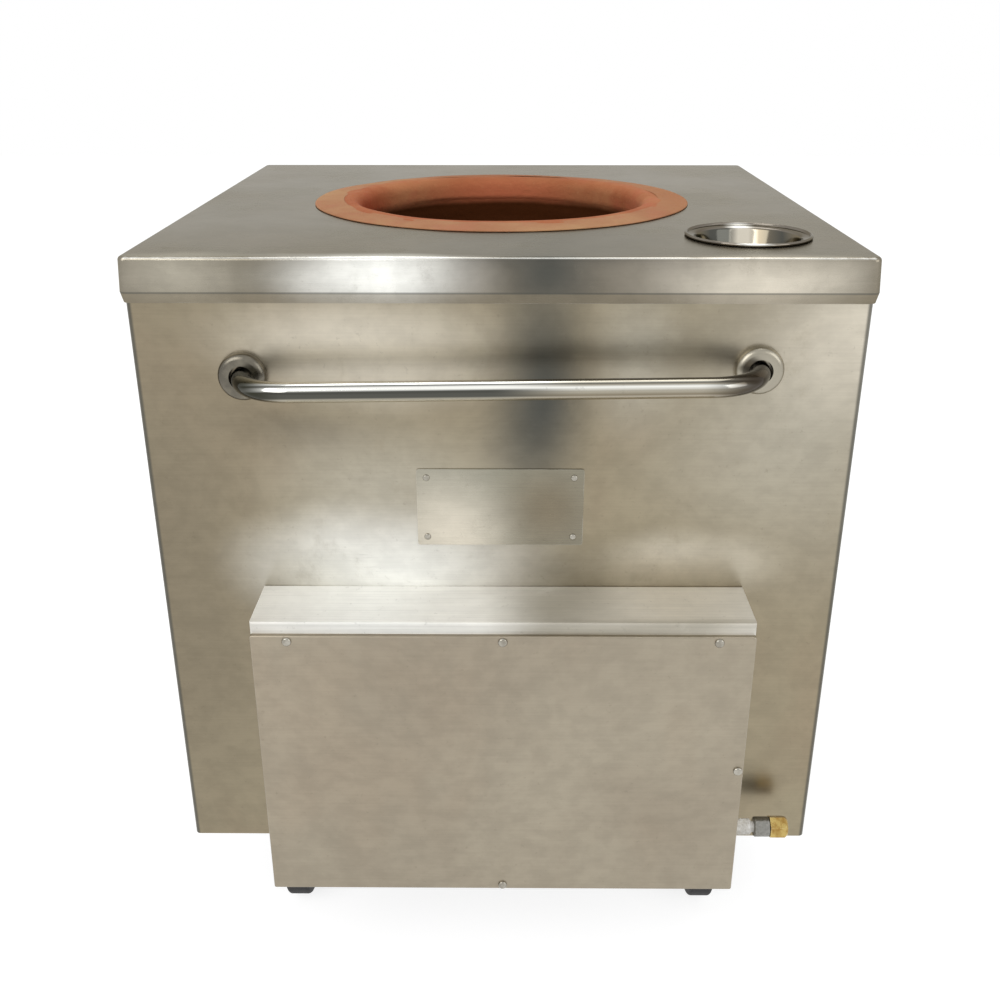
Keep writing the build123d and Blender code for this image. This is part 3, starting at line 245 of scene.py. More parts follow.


# the few plain shades of the painted reflections, painted shade and painted highlights on the steel
white, bright, grey, dim, dark = [
    (0.95, 0.95, 0.90), (0.65, 0.60, 0.50), (0.40, 0.37, 0.30), (0.20, 0.17, 0.12), (0.08, 0.08, 0.07),
]
sheetLook = {
    "pale": (0.30, 0.26, 0.18), "dark": (0.27, 0.23, 0.16), "cloudScale": 3.3,
    "warm": (0.28, 0.22, 0.15), "warmShare": 0.4, "warmScale": 6.3,
    "drift": 0.08, "driftScale": 3.1,  # how far the patterns wander, in metres, and how fast
    "mottle": 0.055, "mottleScale": 38,
    "smudge": 0.30, "smudgeScale": 17,
    "fleck": 0.16, "fleckScale": 120, "fleckColour": (0.12, 0.10, 0.07),
    "grain": (9, 260, 420), "grainShade": 0.035, "grainDepth": 0.00003,
    "waviness": 0.0016, "waveScale": 5.5,
    "rough": 0.30, "cloudRough": -0.06, "smudgeRough": 0.16, "grainRough": 0.10,
    "edge": 0.5, "edgeColour": (0.62, 0.60, 0.54), "wearScale": 30,
    "metal": 1.0, "grazing": (1.0, 1.0, 1.0),  # grazing: tint of the steel seen edge on
    "paintedLight": [],  # painted reflections and painted shade: centre, half size, colour, share
    "paintedLines": [],  # painted shade and highlight lines: direction, low, high, fade, colour, share
    "hazy": [],  # centre, half size, share
}
frontPanelLook = {
    **sheetLook,
    # painted reflections and painted shade: pale and dark soft places on the panel, a dark column down the
    # middle among them
    "paintedLight": onUpright(-0.35, 1.0, [
        (-0.40, 0.50, 0.20, 0.60, dim, 0.8),
        (0.35, 0.75, 0.25, 0.30, grey, 0.9),
        (0.40, 0.85, 0.15, 0.15, bright, 0.8),
        (-0.15, 0.83, 0.22, 0.08, bright, 1.0),
        (0.15, 0.82, 0.08, 0.12, grey, 0.9),
        (0.04, 0.78, 0.08, 0.22, dark, 1.0),
        (-0.22, 0.73, 0.15, 0.05, dim, 1.0),
        (-0.12, 0.66, 0.20, 0.13, grey, 0.9),
        (-0.12, 0.55, 0.24, 0.11, white, 1.0),
        (0.20, 0.55, 0.16, 0.06, bright, 0.8),
    ]),
    # painted shade on the panel's bent side edges
    "paintedLines": [((side, 0, 0), 0.4020, 0.42, 0.0035, dark, 0.8) for side in (1, -1)],
    "hazy": [((-0.10, -0.35, 0.55), (0.25, 1.0, 0.09), 1.0)],
}
deckLook = {
    **sheetLook,
    # painted shade: the deck is given a darker colour than the same sheet elsewhere
    "pale": (0.20, 0.18, 0.15), "dark": (0.18, 0.16, 0.12),
    "warm": (0.19, 0.16, 0.12), "warmShare": 0.5,
    "grain": (12, 320, 320), "rough": 0.24, "edge": 0.3, "grazing": (0.70, 0.68, 0.62),
    # painted reflections on the deck, then on its front skirt
    "paintedLight": [
        ((0.05, -0.28, 0.925), (0.20, 0.40, 0.02), dark, 0.6),
        ((0.30, 0.10, 0.925), (0.10, 0.90, 0.02), dim, 0.6),
    ] + onUpright(-0.36, 0.03, [
        (-0.34, 0.905, 0.11, 0.06, grey, 1.0),
        (-0.14, 0.905, 0.16, 0.06, white, 1.0),
        (0.05, 0.905, 0.07, 0.06, dark, 1.0),
        (0.28, 0.905, 0.18, 0.06, bright, 1.0),
        (0.41, 0.905, 0.04, 0.06, dim, 1.0),
    ]),
    "paintedLines": [  # painted shade on the sloped hem, a painted shade line on the crease over it and a painted highlight along the deck's front fold
        ((0, 0, 1), 0.8700, 0.8853, 0.0008, dim, 0.6),
        ((0, 0, 1), 0.8853, 0.8868, 0.0006, dark, 0.6),
        ((0, -1, 1), 1.2816, 1.30, 0.0007, white, 0.8),
    ],
}
cowlLook = {
    **sheetLook,
    # painted light: the ledge is given a near-white colour, far paler than the same sheet elsewhere
    "pale": (0.88, 0.85, 0.78), "dark": (0.80, 0.78, 0.72), "grain": (5, 520, 520), "grainShade": 0.08,
    "rough": 0.42, "metal": 0.4, "mottle": 0.03,
    # painted reflections on the ledge, and painted shade along its front lip
    "paintedLight": [
        ((-0.12, -0.40, 0.52), (0.28, 0.25, 0.06), white, 1.0),
        ((0.20, -0.40, 0.52), (0.16, 0.25, 0.06), bright, 0.8),
        ((0.07, -0.40, 0.52), (0.10, 0.25, 0.06), grey, 1.0),
        ((0.17, -0.455, 0.515), (0.22, 0.02, 0.03), grey, 1.0),
    ],
    "hazy": [((-0.15, -0.40, 0.525), (0.30, 0.30, 0.06), 1.0)],
}
coverLook = {
    **sheetLook,
    "pale": (0.35, 0.31, 0.24), "dark": (0.30, 0.26, 0.20), "warm": (0.33, 0.27, 0.20),
    "cloudScale": 5.0, "smudge": 0.4, "rough": 0.34,
}
sideLook = {**sheetLook, "grain": (420, 9, 420)}
rearLook = {**sheetLook, "cloudScale": 2.6}
plateLook = {
    **sheetLook,
    "pale": (0.27, 0.26, 0.21), "dark": (0.24, 0.23, 0.18), "warmShare": 0.15,
    "smudge": 0.2, "fleck": 0.15, "mottle": 0.04,
    "grain": (14, 900, 900), "grainShade": 0.05, "rough": 0.26, "waviness": 0.0004,
    # painted reflections on the plate: a pale place and a dim one
    "paintedLight": onUpright(-0.35, 1.0, [
        (-0.05, 0.60, 0.10, 0.14, bright, 0.9),
        (0.06, 0.64, 0.09, 0.10, dim, 1.0),
    ]),
}


# bright steel: bowl, bar, rings, screws
def shadeRamp(tree, value, shades):
    # colours at their places between 0 and 1, straight lines between them
    ramp = addNode(tree, "ShaderNodeValToRGB", {"Fac": value})
    for _ in range(len(shades) - 2):
        ramp.color_ramp.elements.new(0.5)
    for element, (at, shade) in zip(ramp.color_ramp.elements, shades):
        element.position = at
        element.color = (*shade, 1)
    return ramp.outputs[0]


def bandShare(tree, place, within):
    # how much of the painted reflection bands shows: all of it, or only between two heights, low and high
    if within is None:
        return 1.0
    low, high, fade = within
    return stripe(tree, place, (0, 0, 1), low, high, fade)


def polishedSteel(name, look):
    material, tree, shader, place = newMaterial(name)
    cloud = between(tree, noise(tree, place, look["cloudScale"], 4), 0.3, 0.7)
    colour = mixColour(tree, cloud, look["dark"], look["pale"])
    if look["paintedBands"]:  # painted reflection bands across a bar or along a wall, one set turning into the other along x
        direction, low, high = look["bandSpan"]
        along = dotNode(tree, place, direction)
        span = {"Value": along, "From Min": low, "From Max": high}
        share = addNode(tree, "ShaderNodeMapRange", span).outputs[0]
        sideways = addNode(tree, "ShaderNodeSeparateXYZ", {0: place}).outputs[0]
        turning = between(tree, sideways, look["bandTurn"][0], look["bandTurn"][1])
        first, second = [shadeRamp(tree, share, shades) for shades in look["paintedBands"]]
        shade = mixColour(tree, turning, first, second)
        colour = mixColour(tree, bandShare(tree, place, look["bandWithin"]), colour, shade)
    # painted shade and painted highlights in soft places
    for centre, size, tint, share in look["paintedLight"]:
        colour = tinted(tree, colour, spot(tree, place, centre, size), share, tint)
    spots = between(tree, noise(tree, place, look["spotScale"], 6, 0.7), 0.6, 0.75)
    colour = tinted(tree, colour, spots, look["spots"], look["spotColour"])
    feed(tree, shader.inputs["Base Color"], colour)
    shader.inputs["Metallic"].default_value = 1.0
    feed(tree, shader.inputs["Specular Tint"], look["grazing"])
    scratch = noise(tree, stretched(tree, place, look["scratch"]), 1.0, 4, 0.8)
    rough = raised(tree, look["rough"], cloud, look["roughSpread"])
    feed(tree, shader.inputs["Roughness"], raised(tree, rough, spots, look["spotRough"]))
    feed(tree, shader.inputs["Normal"], bump(tree, scratch, 0.4, look["depth"]))
    return material


barLook = {
    "pale": (0.95, 0.94, 0.91), "dark": (0.86, 0.85, 0.80), "cloudScale": 14, "scratch": (18, 500, 500),
    "rough": 0.10, "roughSpread": 0.05, "depth": 0.00002, "grazing": (1.0, 1.0, 1.0),
    "spots": 0.2, "spotScale": 140, "spotRough": 0.12, "spotColour": (0.12, 0.10, 0.08),
    "bandSpan": ((-0.01366, 0.304, 0.953), 0.6213, 0.6425),  # direction across the bar, low, high
    "bandTurn": (-0.01, 0.10),  # x from where to where one set becomes the other
    "bandWithin": None,
    "paintedBands": [  # painted reflections: share of the span, colour: light and dark lines along a polished tube
        [
            (0.0, bright), (0.1, grey), (0.2, dark), (0.5, dark), (0.6, white), (0.7, white), (0.8, dark),
            (0.9, white), (1.0, grey),
        ],
        [
            (0.0, bright), (0.2, dim), (0.4, grey), (0.6, white), (0.7, grey), (0.8, dark), (0.9, grey),
            (1.0, dark),
        ],
    ],
    "paintedLight": [  # painted shade on the bends, where the tube turns away and darkens
        ((-0.295, -0.412, 0.79), (0.075, 0.15, 0.12), (0.02, 0.02, 0.01), 1.0),
        ((0.292, -0.414, 0.79), (0.085, 0.15, 0.12), (0.04, 0.03, 0.02), 1.0),
    ] * 2,
}
plainLook = {**barLook, "paintedBands": None, "paintedLight": []}
ringLook = {
    **plainLook,
    # painted reflection: the flanges' polished steel is given a dark brown colour, far darker than the bar's
    "pale": (0.21, 0.19, 0.15), "dark": (0.12, 0.11, 0.09), "rough": 0.26, "cloudScale": 40,
    # a painted reflection on the right flange
    "paintedLight": [((0.2875, -0.36, 0.80), (0.07, 0.07, 0.07), grey, 1.0)],
}
bowlLook = {
    **plainLook,
    # painted reflection: the bowl's polished steel is given a dark colour, far darker than the bar's
    "pale": (0.20, 0.18, 0.15), "dark": (0.15, 0.13, 0.11), "rough": 0.09, "scratch": (300, 300, 40),
    "grazing": (0.55, 0.53, 0.48),
    "bandSpan": ((1, 0, 0), 0.2294, 0.3494), "bandTurn": (0.3, 0.4),
    "bandWithin": (0.80, 0.9236, 0.0006),  # low, high, fade: the cup's wall and floor, not its rim
    # painted reflections down the cup's wall
    "paintedBands": [
        [
            (0.0, dim), (0.2, dark), (0.4, dark), (0.5, bright), (0.6, bright), (0.7, dim), (0.9, dark),
            (1.0, dim),
        ],
    ] * 2,
    # painted highlights on the rim
    "paintedLight": [
        ((0.290, -0.168, 0.926), (0.022, 0.020, 0.004), white, 1.0),
        ((0.283, -0.303, 0.929), (0.026, 0.012, 0.006), white, 1.0),
    ],
}
screwLook = {
    **plainLook,
    "pale": (0.42, 0.40, 0.35), "dark": (0.26, 0.24, 0.20), "cloudScale": 90, "rough": 0.2,
}


# zinc-plated steel with a faint crystal spangle and dull spots
def zincSteel(name, look):
    material, tree, shader, place = newMaterial(name)
    cells = addNode(tree, "ShaderNodeTexVoronoi", {"Vector": place, "Scale": look["spangle"]})
    tone = addNode(tree, "ShaderNodeRGBToBW", {"Color": cells.outputs["Color"]}).outputs[0]
    colour = mixColour(tree, tone, look["dark"], look["pale"])
    dull = between(tree, noise(tree, place, look["dullScale"], 7, 0.7), 0.5, 0.72)
    colour = tinted(tree, colour, dull, look["dullShare"], look["dull"])
    worn = wear(tree, place, look["edge"], look["wearScale"])
    feed(tree, shader.inputs["Base Color"], mixColour(tree, worn, colour, look["bare"]))
    shader.inputs["Metallic"].default_value = 1.0
    feed(tree, shader.inputs["Roughness"], raised(tree, look["rough"], dull, look["dullRough"]))
    feed(tree, shader.inputs["Normal"], bump(tree, tone, 0.15, look["depth"]))
    return material


zincLook = {
    "pale": (0.46, 0.47, 0.48), "dark": (0.34, 0.35, 0.36), "spangle": 130,
    "dull": (0.25, 0.235, 0.22), "dullScale": 24, "dullShare": 0.5,
    "bare": (0.75, 0.75, 0.73), "edge": 0.6, "wearScale": 60,
    "rough": 0.34, "dullRough": 0.25, "depth": 0.0003,
}
collarLook = {
    **zincLook,
    "pale": (0.30, 0.295, 0.27), "dark": (0.20, 0.195, 0.18), "dull": (0.13, 0.12, 0.10), "spangle": 400,
}
structureLook = {
    **zincLook,
    "pale": (0.42, 0.42, 0.42), "dark": (0.27, 0.27, 0.28), "dull": (0.20, 0.17, 0.14), "spangle": 60,
}


# fired clay and mortar: mottled, pitted, smoothed by hand in rings
def firedClay(name, look):
    material, tree, shader, place = newMaterial(name)
    patch = between(tree, noise(tree, place, look["patchScale"], 5, 0.62), 0.32, 0.7)
    colour = mixColour(tree, patch, look["deep"], look["pale"])
    rosePlace = stretched(tree, place, (1, 1, 1.4), (2, 5, 1))
    rose = between(tree, noise(tree, rosePlace, look["roseScale"], 4), 0.48, 0.68)
    colour = tinted(tree, colour, rose, look["roseShare"], look["rose"])
    shader.inputs["Specular IOR Level"].default_value = look["gloss"]
    # painted light and painted shade in soft places on the rim and inside the mouth
    for centre, size, tint, share in look["paintedShading"]:
        colour = tinted(tree, colour, spot(tree, place, centre, size), share, tint)
    # soot and painted shade thicken from the neck's foot downwards, along a line that wanders by the swing
    height = addNode(tree, "ShaderNodeSeparateXYZ", {0: place}).outputs[2]
    edge = mathNode(tree, "MULTIPLY_ADD", noise(tree, place, look["sootAndShadeScale"], 4), look["sootAndShadeSwing"])
    edge.node.inputs[2].default_value = -look["sootAndShadeSwing"] / 2
    sootAndShade = between(tree, mathNode(tree, "ADD", height, edge), *look["sootAndShade"], (1.0, 0.0))
    grit = noise(tree, place, look["gritScale"], 5, 0.75)
    colour = mixColour(tree, between(tree, grit, 0.55, 0.75, (0.0, look["gritShare"])), colour, look["grit"])
    colour = mixColour(tree, sootAndShade, colour, look["sootAndShadeColour"])
    feed(tree, shader.inputs["Base Color"], colour)
    shader.inputs["Roughness"].default_value = look["rough"]
    rings = noise(tree, stretched(tree, place, look["rings"]), 1.0, 3)
    soft = bump(tree, rings, 0.35, look["ringDepth"])
    pits = between(tree, noise(tree, place, look["pitScale"], 6, 0.7), 0.3, 0.62)
    feed(tree, shader.inputs["Normal"], bump(tree, pits, 0.5, look["pitDepth"], soft))
    return material


potLook = {
    "pale": (0.44, 0.18, 0.08), "deep": (0.34, 0.10, 0.04), "patchScale": 9,
    "rose": (0.43, 0.12, 0.06), "roseScale": 19, "roseShare": 0.5,
    "grit": (0.55, 0.29, 0.14), "gritScale": 210, "gritShare": 0.35,
    "rings": (14, 14, 160), "ringDepth": 0.0012, "pitScale": 95, "pitDepth": 0.0009,
    "rough": 0.82, "gloss": 0.12,
    "paintedShading": [  # painted light and painted shade: centre, half size, colour, share
        ((0.0, 0.30, 0.93), (0.34, 0.17, 0.10), (0.29, 0.10, 0.04), 0.9),
        ((0.0, 0.26, 0.905), (0.24, 0.10, 0.03), (0.60, 0.17, 0.08), 0.9),
        ((-0.20, 0.03, 0.905), (0.09, 0.22, 0.040), (0.29, 0.04, 0.01), 1.0),
    ],
    "sootAndShade": (0.889, 0.900),  # heights between which the soot and painted shade fade out
    "sootAndShadeColour": (0.06, 0.015, 0.002), "sootAndShadeScale": 13, "sootAndShadeSwing": 0.006,
}
rimLook = {
    **potLook,
    "pale": (0.43, 0.24, 0.12), "deep": (0.36, 0.16, 0.08), "rose": (0.41, 0.16, 0.09),
    # painted shade on the ring's right side and its back
    "paintedShading": [((0.26, 0.10, 0.93), (0.16, 0.30, 0.05), (0.35, 0.14, 0.06), 0.8)] + potLook["paintedShading"][:1],
}


# other finishes
def roughMetal(name, look):
    # cast iron, brass and soft metals: a base colour, darker stains in it and a bump of its own scale
    material, tree, shader, place = newMaterial(name)
    stain = between(tree, noise(tree, place, look["stainScale"], 6, 0.65), 0.38, 0.68)
    colour = mixColour(tree, stain, look["base"], look["stain"])
    worn = wear(tree, place, look["edge"], look["wearScale"])
    feed(tree, shader.inputs["Base Color"], mixColour(tree, worn, colour, look["bare"]))
    shader.inputs["Metallic"].default_value = look["metal"]
    feed(tree, shader.inputs["Roughness"], raised(tree, look["rough"], stain, look["stainRough"]))
    skin = noise(tree, place, look["bumpScale"], 5, 0.7)
    feed(tree, shader.inputs["Normal"], bump(tree, skin, 0.5, look["bumpDepth"]))
    return material


castLook = {
    "base": (0.075, 0.07, 0.068), "stain": (0.15, 0.075, 0.04), "stainScale": 16, "stainRough": 0.16,
    "bare": (0.2, 0.19, 0.18), "edge": 0.7, "wearScale": 80,
    "metal": 0.6, "rough": 0.55, "bumpScale": 420, "bumpDepth": 0.0006,
}
brassLook = {
    **castLook,
    "base": (0.50, 0.37, 0.13), "stain": (0.28, 0.15, 0.035), "bare": (0.80, 0.68, 0.40), "stainScale": 70,
    "metal": 1.0, "rough": 0.22, "bumpScale": 500, "bumpDepth": 0.0001,
}
copperLook = {
    **brassLook,
    "base": (0.70, 0.33, 0.20), "stain": (0.36, 0.15, 0.09), "bare": (0.85, 0.55, 0.42),
}
aluminiumLook = {
    **brassLook,
    "base": (0.66, 0.67, 0.68), "stain": (0.45, 0.46, 0.47), "bare": (0.8, 0.8, 0.8), "rough": 0.32,
}
weldLook = {
    **brassLook,
    "base": (0.42, 0.38, 0.32), "stain": (0.20, 0.16, 0.17), "bare": (0.7, 0.66, 0.6), "stainScale": 120,
    "rough": 0.3,
}


def mouldedPlastic(name, look):
    # a base colour with dust in its hollows and on its edges, over a pebbled skin
    material, tree, shader, place = newMaterial(name)
    dust = between(tree, noise(tree, place, look["dustScale"], 7, 0.7), 0.5, 0.8)
    colour = tinted(tree, look["base"], dust, look["dustShare"], look["dust"])
    worn = wear(tree, place, look["edge"], look["wearScale"])
    feed(tree, shader.inputs["Base Color"], mixColour(tree, worn, colour, look["dust"]))
    feed(tree, shader.inputs["Roughness"], raised(tree, look["rough"], dust, look["dustRough"]))
    pebble = noise(tree, place, look["pebble"], 4, 0.6)
    feed(tree, shader.inputs["Normal"], bump(tree, pebble, 0.4, look["depth"]))
    return material


blackLook = {
    "base": (0.018, 0.018, 0.018), "rough": 0.42, "pebble": 700, "depth": 0.0001,
    "dust": (0.12, 0.11, 0.10), "dustScale": 34, "dustShare": 0.25, "dustRough": 0.2,
    "edge": 0.5, "wearScale": 50,
}
redLook = {**blackLook, "base": (0.45, 0.02, 0.015), "dust": (0.3, 0.1, 0.08), "rough": 0.25}
tyreLook = {
    **blackLook,
    "base": (0.022, 0.021, 0.021), "dust": (0.17, 0.15, 0.13), "dustShare": 0.5,
    "rough": 0.7, "pebble": 260, "depth": 0.0004,
}


# mesh helpers
def waviness(turn, along, waves):
    # sum over waves of size_k * sin(m_k * turn + n_k * along + phase_k), with smaller sizes for quicker waves
    pick = np.random.default_rng(waves["seed"])
    around = pick.integers(1, waves["around"] + 1, waves["count"])
    lengthwise = pick.uniform(-waves["along"], waves["along"], waves["count"])
    phase = pick.uniform(0, 2 * np.pi, waves["count"])
    weight = 1.0 / (1.0 + around + np.abs(lengthwise) / 6)
    wave = np.sin(turn[..., None] * around + along[..., None] * lengthwise + phase)
    return waves["size"] * (wave * weight).sum(-1) / np.sqrt((weight ** 2).sum())


def gridMesh(name, grid, material, wrapU=False, wrapV=False):
    # grid[i, j] is the point for step i of u and j of v; each quad joins a point with its next ones
    rows, columns = grid.shape[:2]
    index = np.arange(rows * columns).reshape(rows, columns)
    if wrapU:
        index = np.vstack([index, index[:1]])
    if wrapV:
        index = np.hstack([index, index[:, :1]])
    quads = np.stack([index[:-1, :-1], index[1:, :-1], index[1:, 1:], index[:-1, 1:]], -1).reshape(-1, 4)
    mesh = bpy.data.meshes.new(name)
    mesh.from_pydata(grid.reshape(-1, 3).tolist(), [], quads.tolist())
    shell = bmesh.new()
    shell.from_mesh(mesh)
    bmesh.ops.remove_doubles(shell, verts=shell.verts, dist=1e-6)
    bmesh.ops.dissolve_degenerate(shell, edges=shell.edges, dist=1e-7)
    bmesh.ops.recalc_face_normals(shell, faces=shell.faces)
    shell.to_mesh(mesh)
    shell.free()
    mesh.shade_smooth()
    mesh.materials.append(material)
    return newObject(name, mesh)


def evenly(points, step, soften=0, closed=True):
    # the outline through the points at an even step, then averaged with its neighbours to round its corners
    line = np.array(points, float)
    if closed:
        line = np.vstack([line, line[:1]])
    run = np.concatenate([[0], np.cumsum(np.linalg.norm(np.diff(line, axis=0), axis=1))])
    count = max(8, int(run[-1] / step))
    at = np.linspace(0, run[-1], count, endpoint=not closed)
    even = np.stack([np.interp(at, run, line[:, k]) for k in (0, 1)], -1)
    for _ in range(soften):
        smooth = 0.25 * np.roll(even, 1, 0) + 0.5 * even + 0.25 * np.roll(even, -1, 0)
        if not closed:
            smooth[[0, -1]] = even[[0, -1]]
        even = smooth
    return even


def outward(outline):
    # unit normals of a closed outline that runs anticlockwise in (radius, height)
    ahead = np.roll(outline, -1, 0) - np.roll(outline, 1, 0)
    normal = np.stack([ahead[:, 1], -ahead[:, 0]], -1)
    return normal / np.linalg.norm(normal, axis=1, keepdims=True).clip(1e-9)


def fullTurn(steps):
    # the angles once round in even steps, as one row
    return np.linspace(0, 2 * np.pi, steps, endpoint=False)[None, :]


def spunGrid(radius, height, turn, centre):
    # point = centre + (radius * cos turn, radius * sin turn, height)
    x = centre[0] + radius * np.cos(turn)
    y = centre[1] + radius * np.sin(turn)
    return np.stack([x, y, height + 0 * turn], -1)


# clay pot: a lathed bell whose wall was built up in coils and smoothed by hand
clayPot = {
    "centre": (0.0, 0.0475),
    "inside": [  # radius and height of the inner wall, top to bottom
        (0.1925, 0.9060), (0.1925, 0.8990), (0.1975, 0.8950), (0.1985, 0.8630), (0.1985, 0.8229),
        (0.1985, 0.7830), (0.2064, 0.7436), (0.2177, 0.7051), (0.2318, 0.6675), (0.2479, 0.6307),
        (0.2643, 0.5941), (0.2778, 0.5563), (0.2828, 0.5166), (0.2756, 0.4772), (0.2611, 0.4398),
        (0.2444, 0.4033), (0.2280, 0.3666), (0.2135, 0.3292),
    ],
    "outside": [  # the outer wall, bottom to top
        (0.2515, 0.3292), (0.2660, 0.3666), (0.2824, 0.4033), (0.2991, 0.4398), (0.3136, 0.4772),
        (0.3208, 0.5166), (0.3158, 0.5563), (0.3023, 0.5941), (0.2859, 0.6307), (0.2698, 0.6675),
        (0.2557, 0.7051), (0.2444, 0.7436), (0.2365, 0.7830), (0.2320, 0.8229), (0.2305, 0.8630),
    ],
    "crest": (0.2085, 0.931),
    "lip": 0.016,  # radius of the rounded lip
    "lipSteps": 7,
    "lipEdge": (0.2303, 0.9292),  # where the lip meets the outer wall
    "foot": 0.2907,
    "footRadius": 0.240,
    "floor": 0.3267,
    "floorRadius": 0.2095,
    "floorHole": 0.118,
    "step": 0.0035,
    "turns": 208,
    "lumps": {"around": 9, "along": 60, "count": 26, "seed": 11, "size": 0.0009},
    "coils": 0.0004,
    "coilPitch": 0.03,
    "sink": (0.0012, 0.004),  # mean and greatest depth under the drawn outline
    "neckFrom": 0.9,
    "neckShare": 0.35,  # the neck is smoother than the belly
}


def makeClayPot(look):
    inner = np.array(look["inside"])
    lipTurn = np.linspace(0, np.pi / 2, look["lipSteps"])
    middle = (look["crest"][0], look["crest"][1] - look["lip"])
    lip = np.stack([middle[0] - look["lip"] * np.sin(lipTurn), middle[1] + look["lip"] * np.cos(lipTurn)], -1)
    hole, foot, floor = look["floorHole"], look["foot"], look["floor"]
    outline = np.vstack([
        [(hole, floor), (hole, foot), (look["footRadius"], foot)], look["outside"], [look["lipEdge"]],
        lip, inner, [(look["floorRadius"], floor)],
    ])
    outline = evenly(outline, look["step"], 2)
    turn = fullTurn(look["turns"])
    radius, height = outline[:, :1], outline[:, 1:]
    normal = outward(outline)
    # pushed along the outline's normal by slow lumps and coil ridges, only inwards, so it stays in its shell
    lumps = waviness(turn + 0 * height, height + 0 * turn, look["lumps"])
    coils = look["coils"] * np.sin(height * 2 * np.pi / look["coilPitch"] + 2 * np.sin(turn * 3))
    mean, deepest = look["sink"]
    push = np.clip(lumps + coils - mean, -deepest, 0.0)
    push = push * np.where(height > look["neckFrom"], look["neckShare"], 1.0)
    grid = spunGrid(radius + push * normal[:, :1], height + push * normal[:, 1:], turn, look["centre"])
    return gridMesh("clay_wall", grid, clayMaterial, wrapU=True, wrapV=True)


clayMaterial = firedClay("firedClay", potLook)
potPiece = makeClayPot(clayPot)
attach(potPiece, "oven")
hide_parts("clay_pot")
print("clay pot made")


# mortar rim: a low ring smoothed by hand on to the deck, its edge not quite round
mortarRim = {
    "centre": (0.0, 0.0475),
    "outline": [  # radius and height, anticlockwise
        (0.2306, 0.880), (0.2493, 0.880), (0.2493, 0.9252), (0.2588, 0.9252), (0.2598, 0.9258),
        (0.2580, 0.9271), (0.2450, 0.9283), (0.2300, 0.9296), (0.2170, 0.9305), (0.2155, 0.9302),
        (0.2240, 0.9293), (0.2304, 0.9285),
    ],
    "step": 0.0016,
    "turns": 360,
    "edge": {"around": 14, "along": 0.1, "count": 18, "seed": 5, "size": 0.0022},
    "edgeFrom": (0.2495, 0.0095),  # radius where the edge starts to wander, and how far on it is full
    "edgeSink": (0.0018, 0.006),  # mean and greatest distance inside the drawn outline
    "lumps": {"around": 24, "along": 300, "count": 30, "seed": 8, "size": 0.0005},
    "topFrom": (0.926, 0.002),  # the same for the lumps, by height
    "topSink": (0.0004, 0.002),
    "deckTop": 0.9251,
}


def makeMortarRim(look):
    # above the deck the ring's outer part moves in and out with the turn, and its top rises and falls
    outline = evenly(look["outline"], look["step"], 1)
    turn = fullTurn(look["turns"])
    radius, height = outline[:, :1], outline[:, 1:]
    start, reach = look["edgeFrom"]
    outerShare = np.clip((radius - start) / reach, 0, 1) * (height > look["deckTop"])
    edge = waviness(turn, 0 * turn, look["edge"])
    start, reach = look["topFrom"]
    topShare = np.clip((height - start) / reach, 0, 1)
    lumps = waviness(turn + 0 * radius, radius + 0 * turn, look["lumps"])
    mean, deepest = look["edgeSink"]
    wandering = radius + outerShare * np.clip(edge - mean, -deepest, 0)
    mean, deepest = look["topSink"]
    lumpy = height + topShare * np.clip(lumps - mean, -deepest, 0)
    grid = spunGrid(wandering, lumpy, turn, look["centre"])
    return gridMesh("mortar_ring", grid, mortarMaterial, wrapU=True, wrapV=True)


mortarMaterial = firedClay("mortar", rimLook)
rimPiece = makeMortarRim(mortarRim)
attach(rimPiece, "oven")
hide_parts("rim_collar")
print("mortar rim made")


# drop-in bowl: spun sheet with soft corners, a flared rim and a rolled bead
dropBowl = {
    "centre": (0.2894, -0.2310),
    "sheet": 0.001,
    "inside": [  # radius and height from the middle of the floor out to the bead
        (0.0, 0.8760), (0.0375, 0.8760), (0.0440, 0.8775), (0.0482, 0.8815), (0.0500, 0.8870),
        (0.0590, 0.9215), (0.0598, 0.9244), (0.0612, 0.9254), (0.0640, 0.9260), (0.0708, 0.9270),
    ],
    "step": 0.0012,
    "bead": 0.0020,
    "beadShift": (0.0008, 0.0002),  # bead's centre from the end of the profile
    "beadArc": (0.86, -0.80),  # where the bead starts and ends, in half turns
    "beadSteps": 19,
    "turns": 192,
}


def makeBowl(look):
    # a profile curve with its own thickness, its rim closed by a small circle, turned about the bowl's axis
    inside = evenly(look["inside"], look["step"], 5, closed=False)
    ahead = np.gradient(inside, axis=0)
    normal = np.stack([-ahead[:, 1], ahead[:, 0]], -1)
    normal /= np.linalg.norm(normal, axis=1, keepdims=True)
    outside = (inside - look["sheet"] * normal)[::-1]
    outside[-1, 0] = 0.0
    first, last = look["beadArc"]
    arc = np.linspace(first * np.pi, last * np.pi, look["beadSteps"])
    middle = inside[-1] + look["beadShift"]
    bead = middle + look["bead"] * np.stack([np.cos(arc), np.sin(arc)], -1)
    outline = np.vstack([inside[:-1], bead, outside[1:]])
    turn = fullTurn(look["turns"])
    grid = spunGrid(outline[:, :1] + 0 * turn, outline[:, 1:], turn, look["centre"])
    return gridMesh("spun_bowl", grid, polishedSteel("bowlSteel", bowlLook), wrapV=True)


bowlPiece = makeBowl(dropBowl)
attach(bowlPiece, "bowl")
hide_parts("bowl")
print("bowl made")


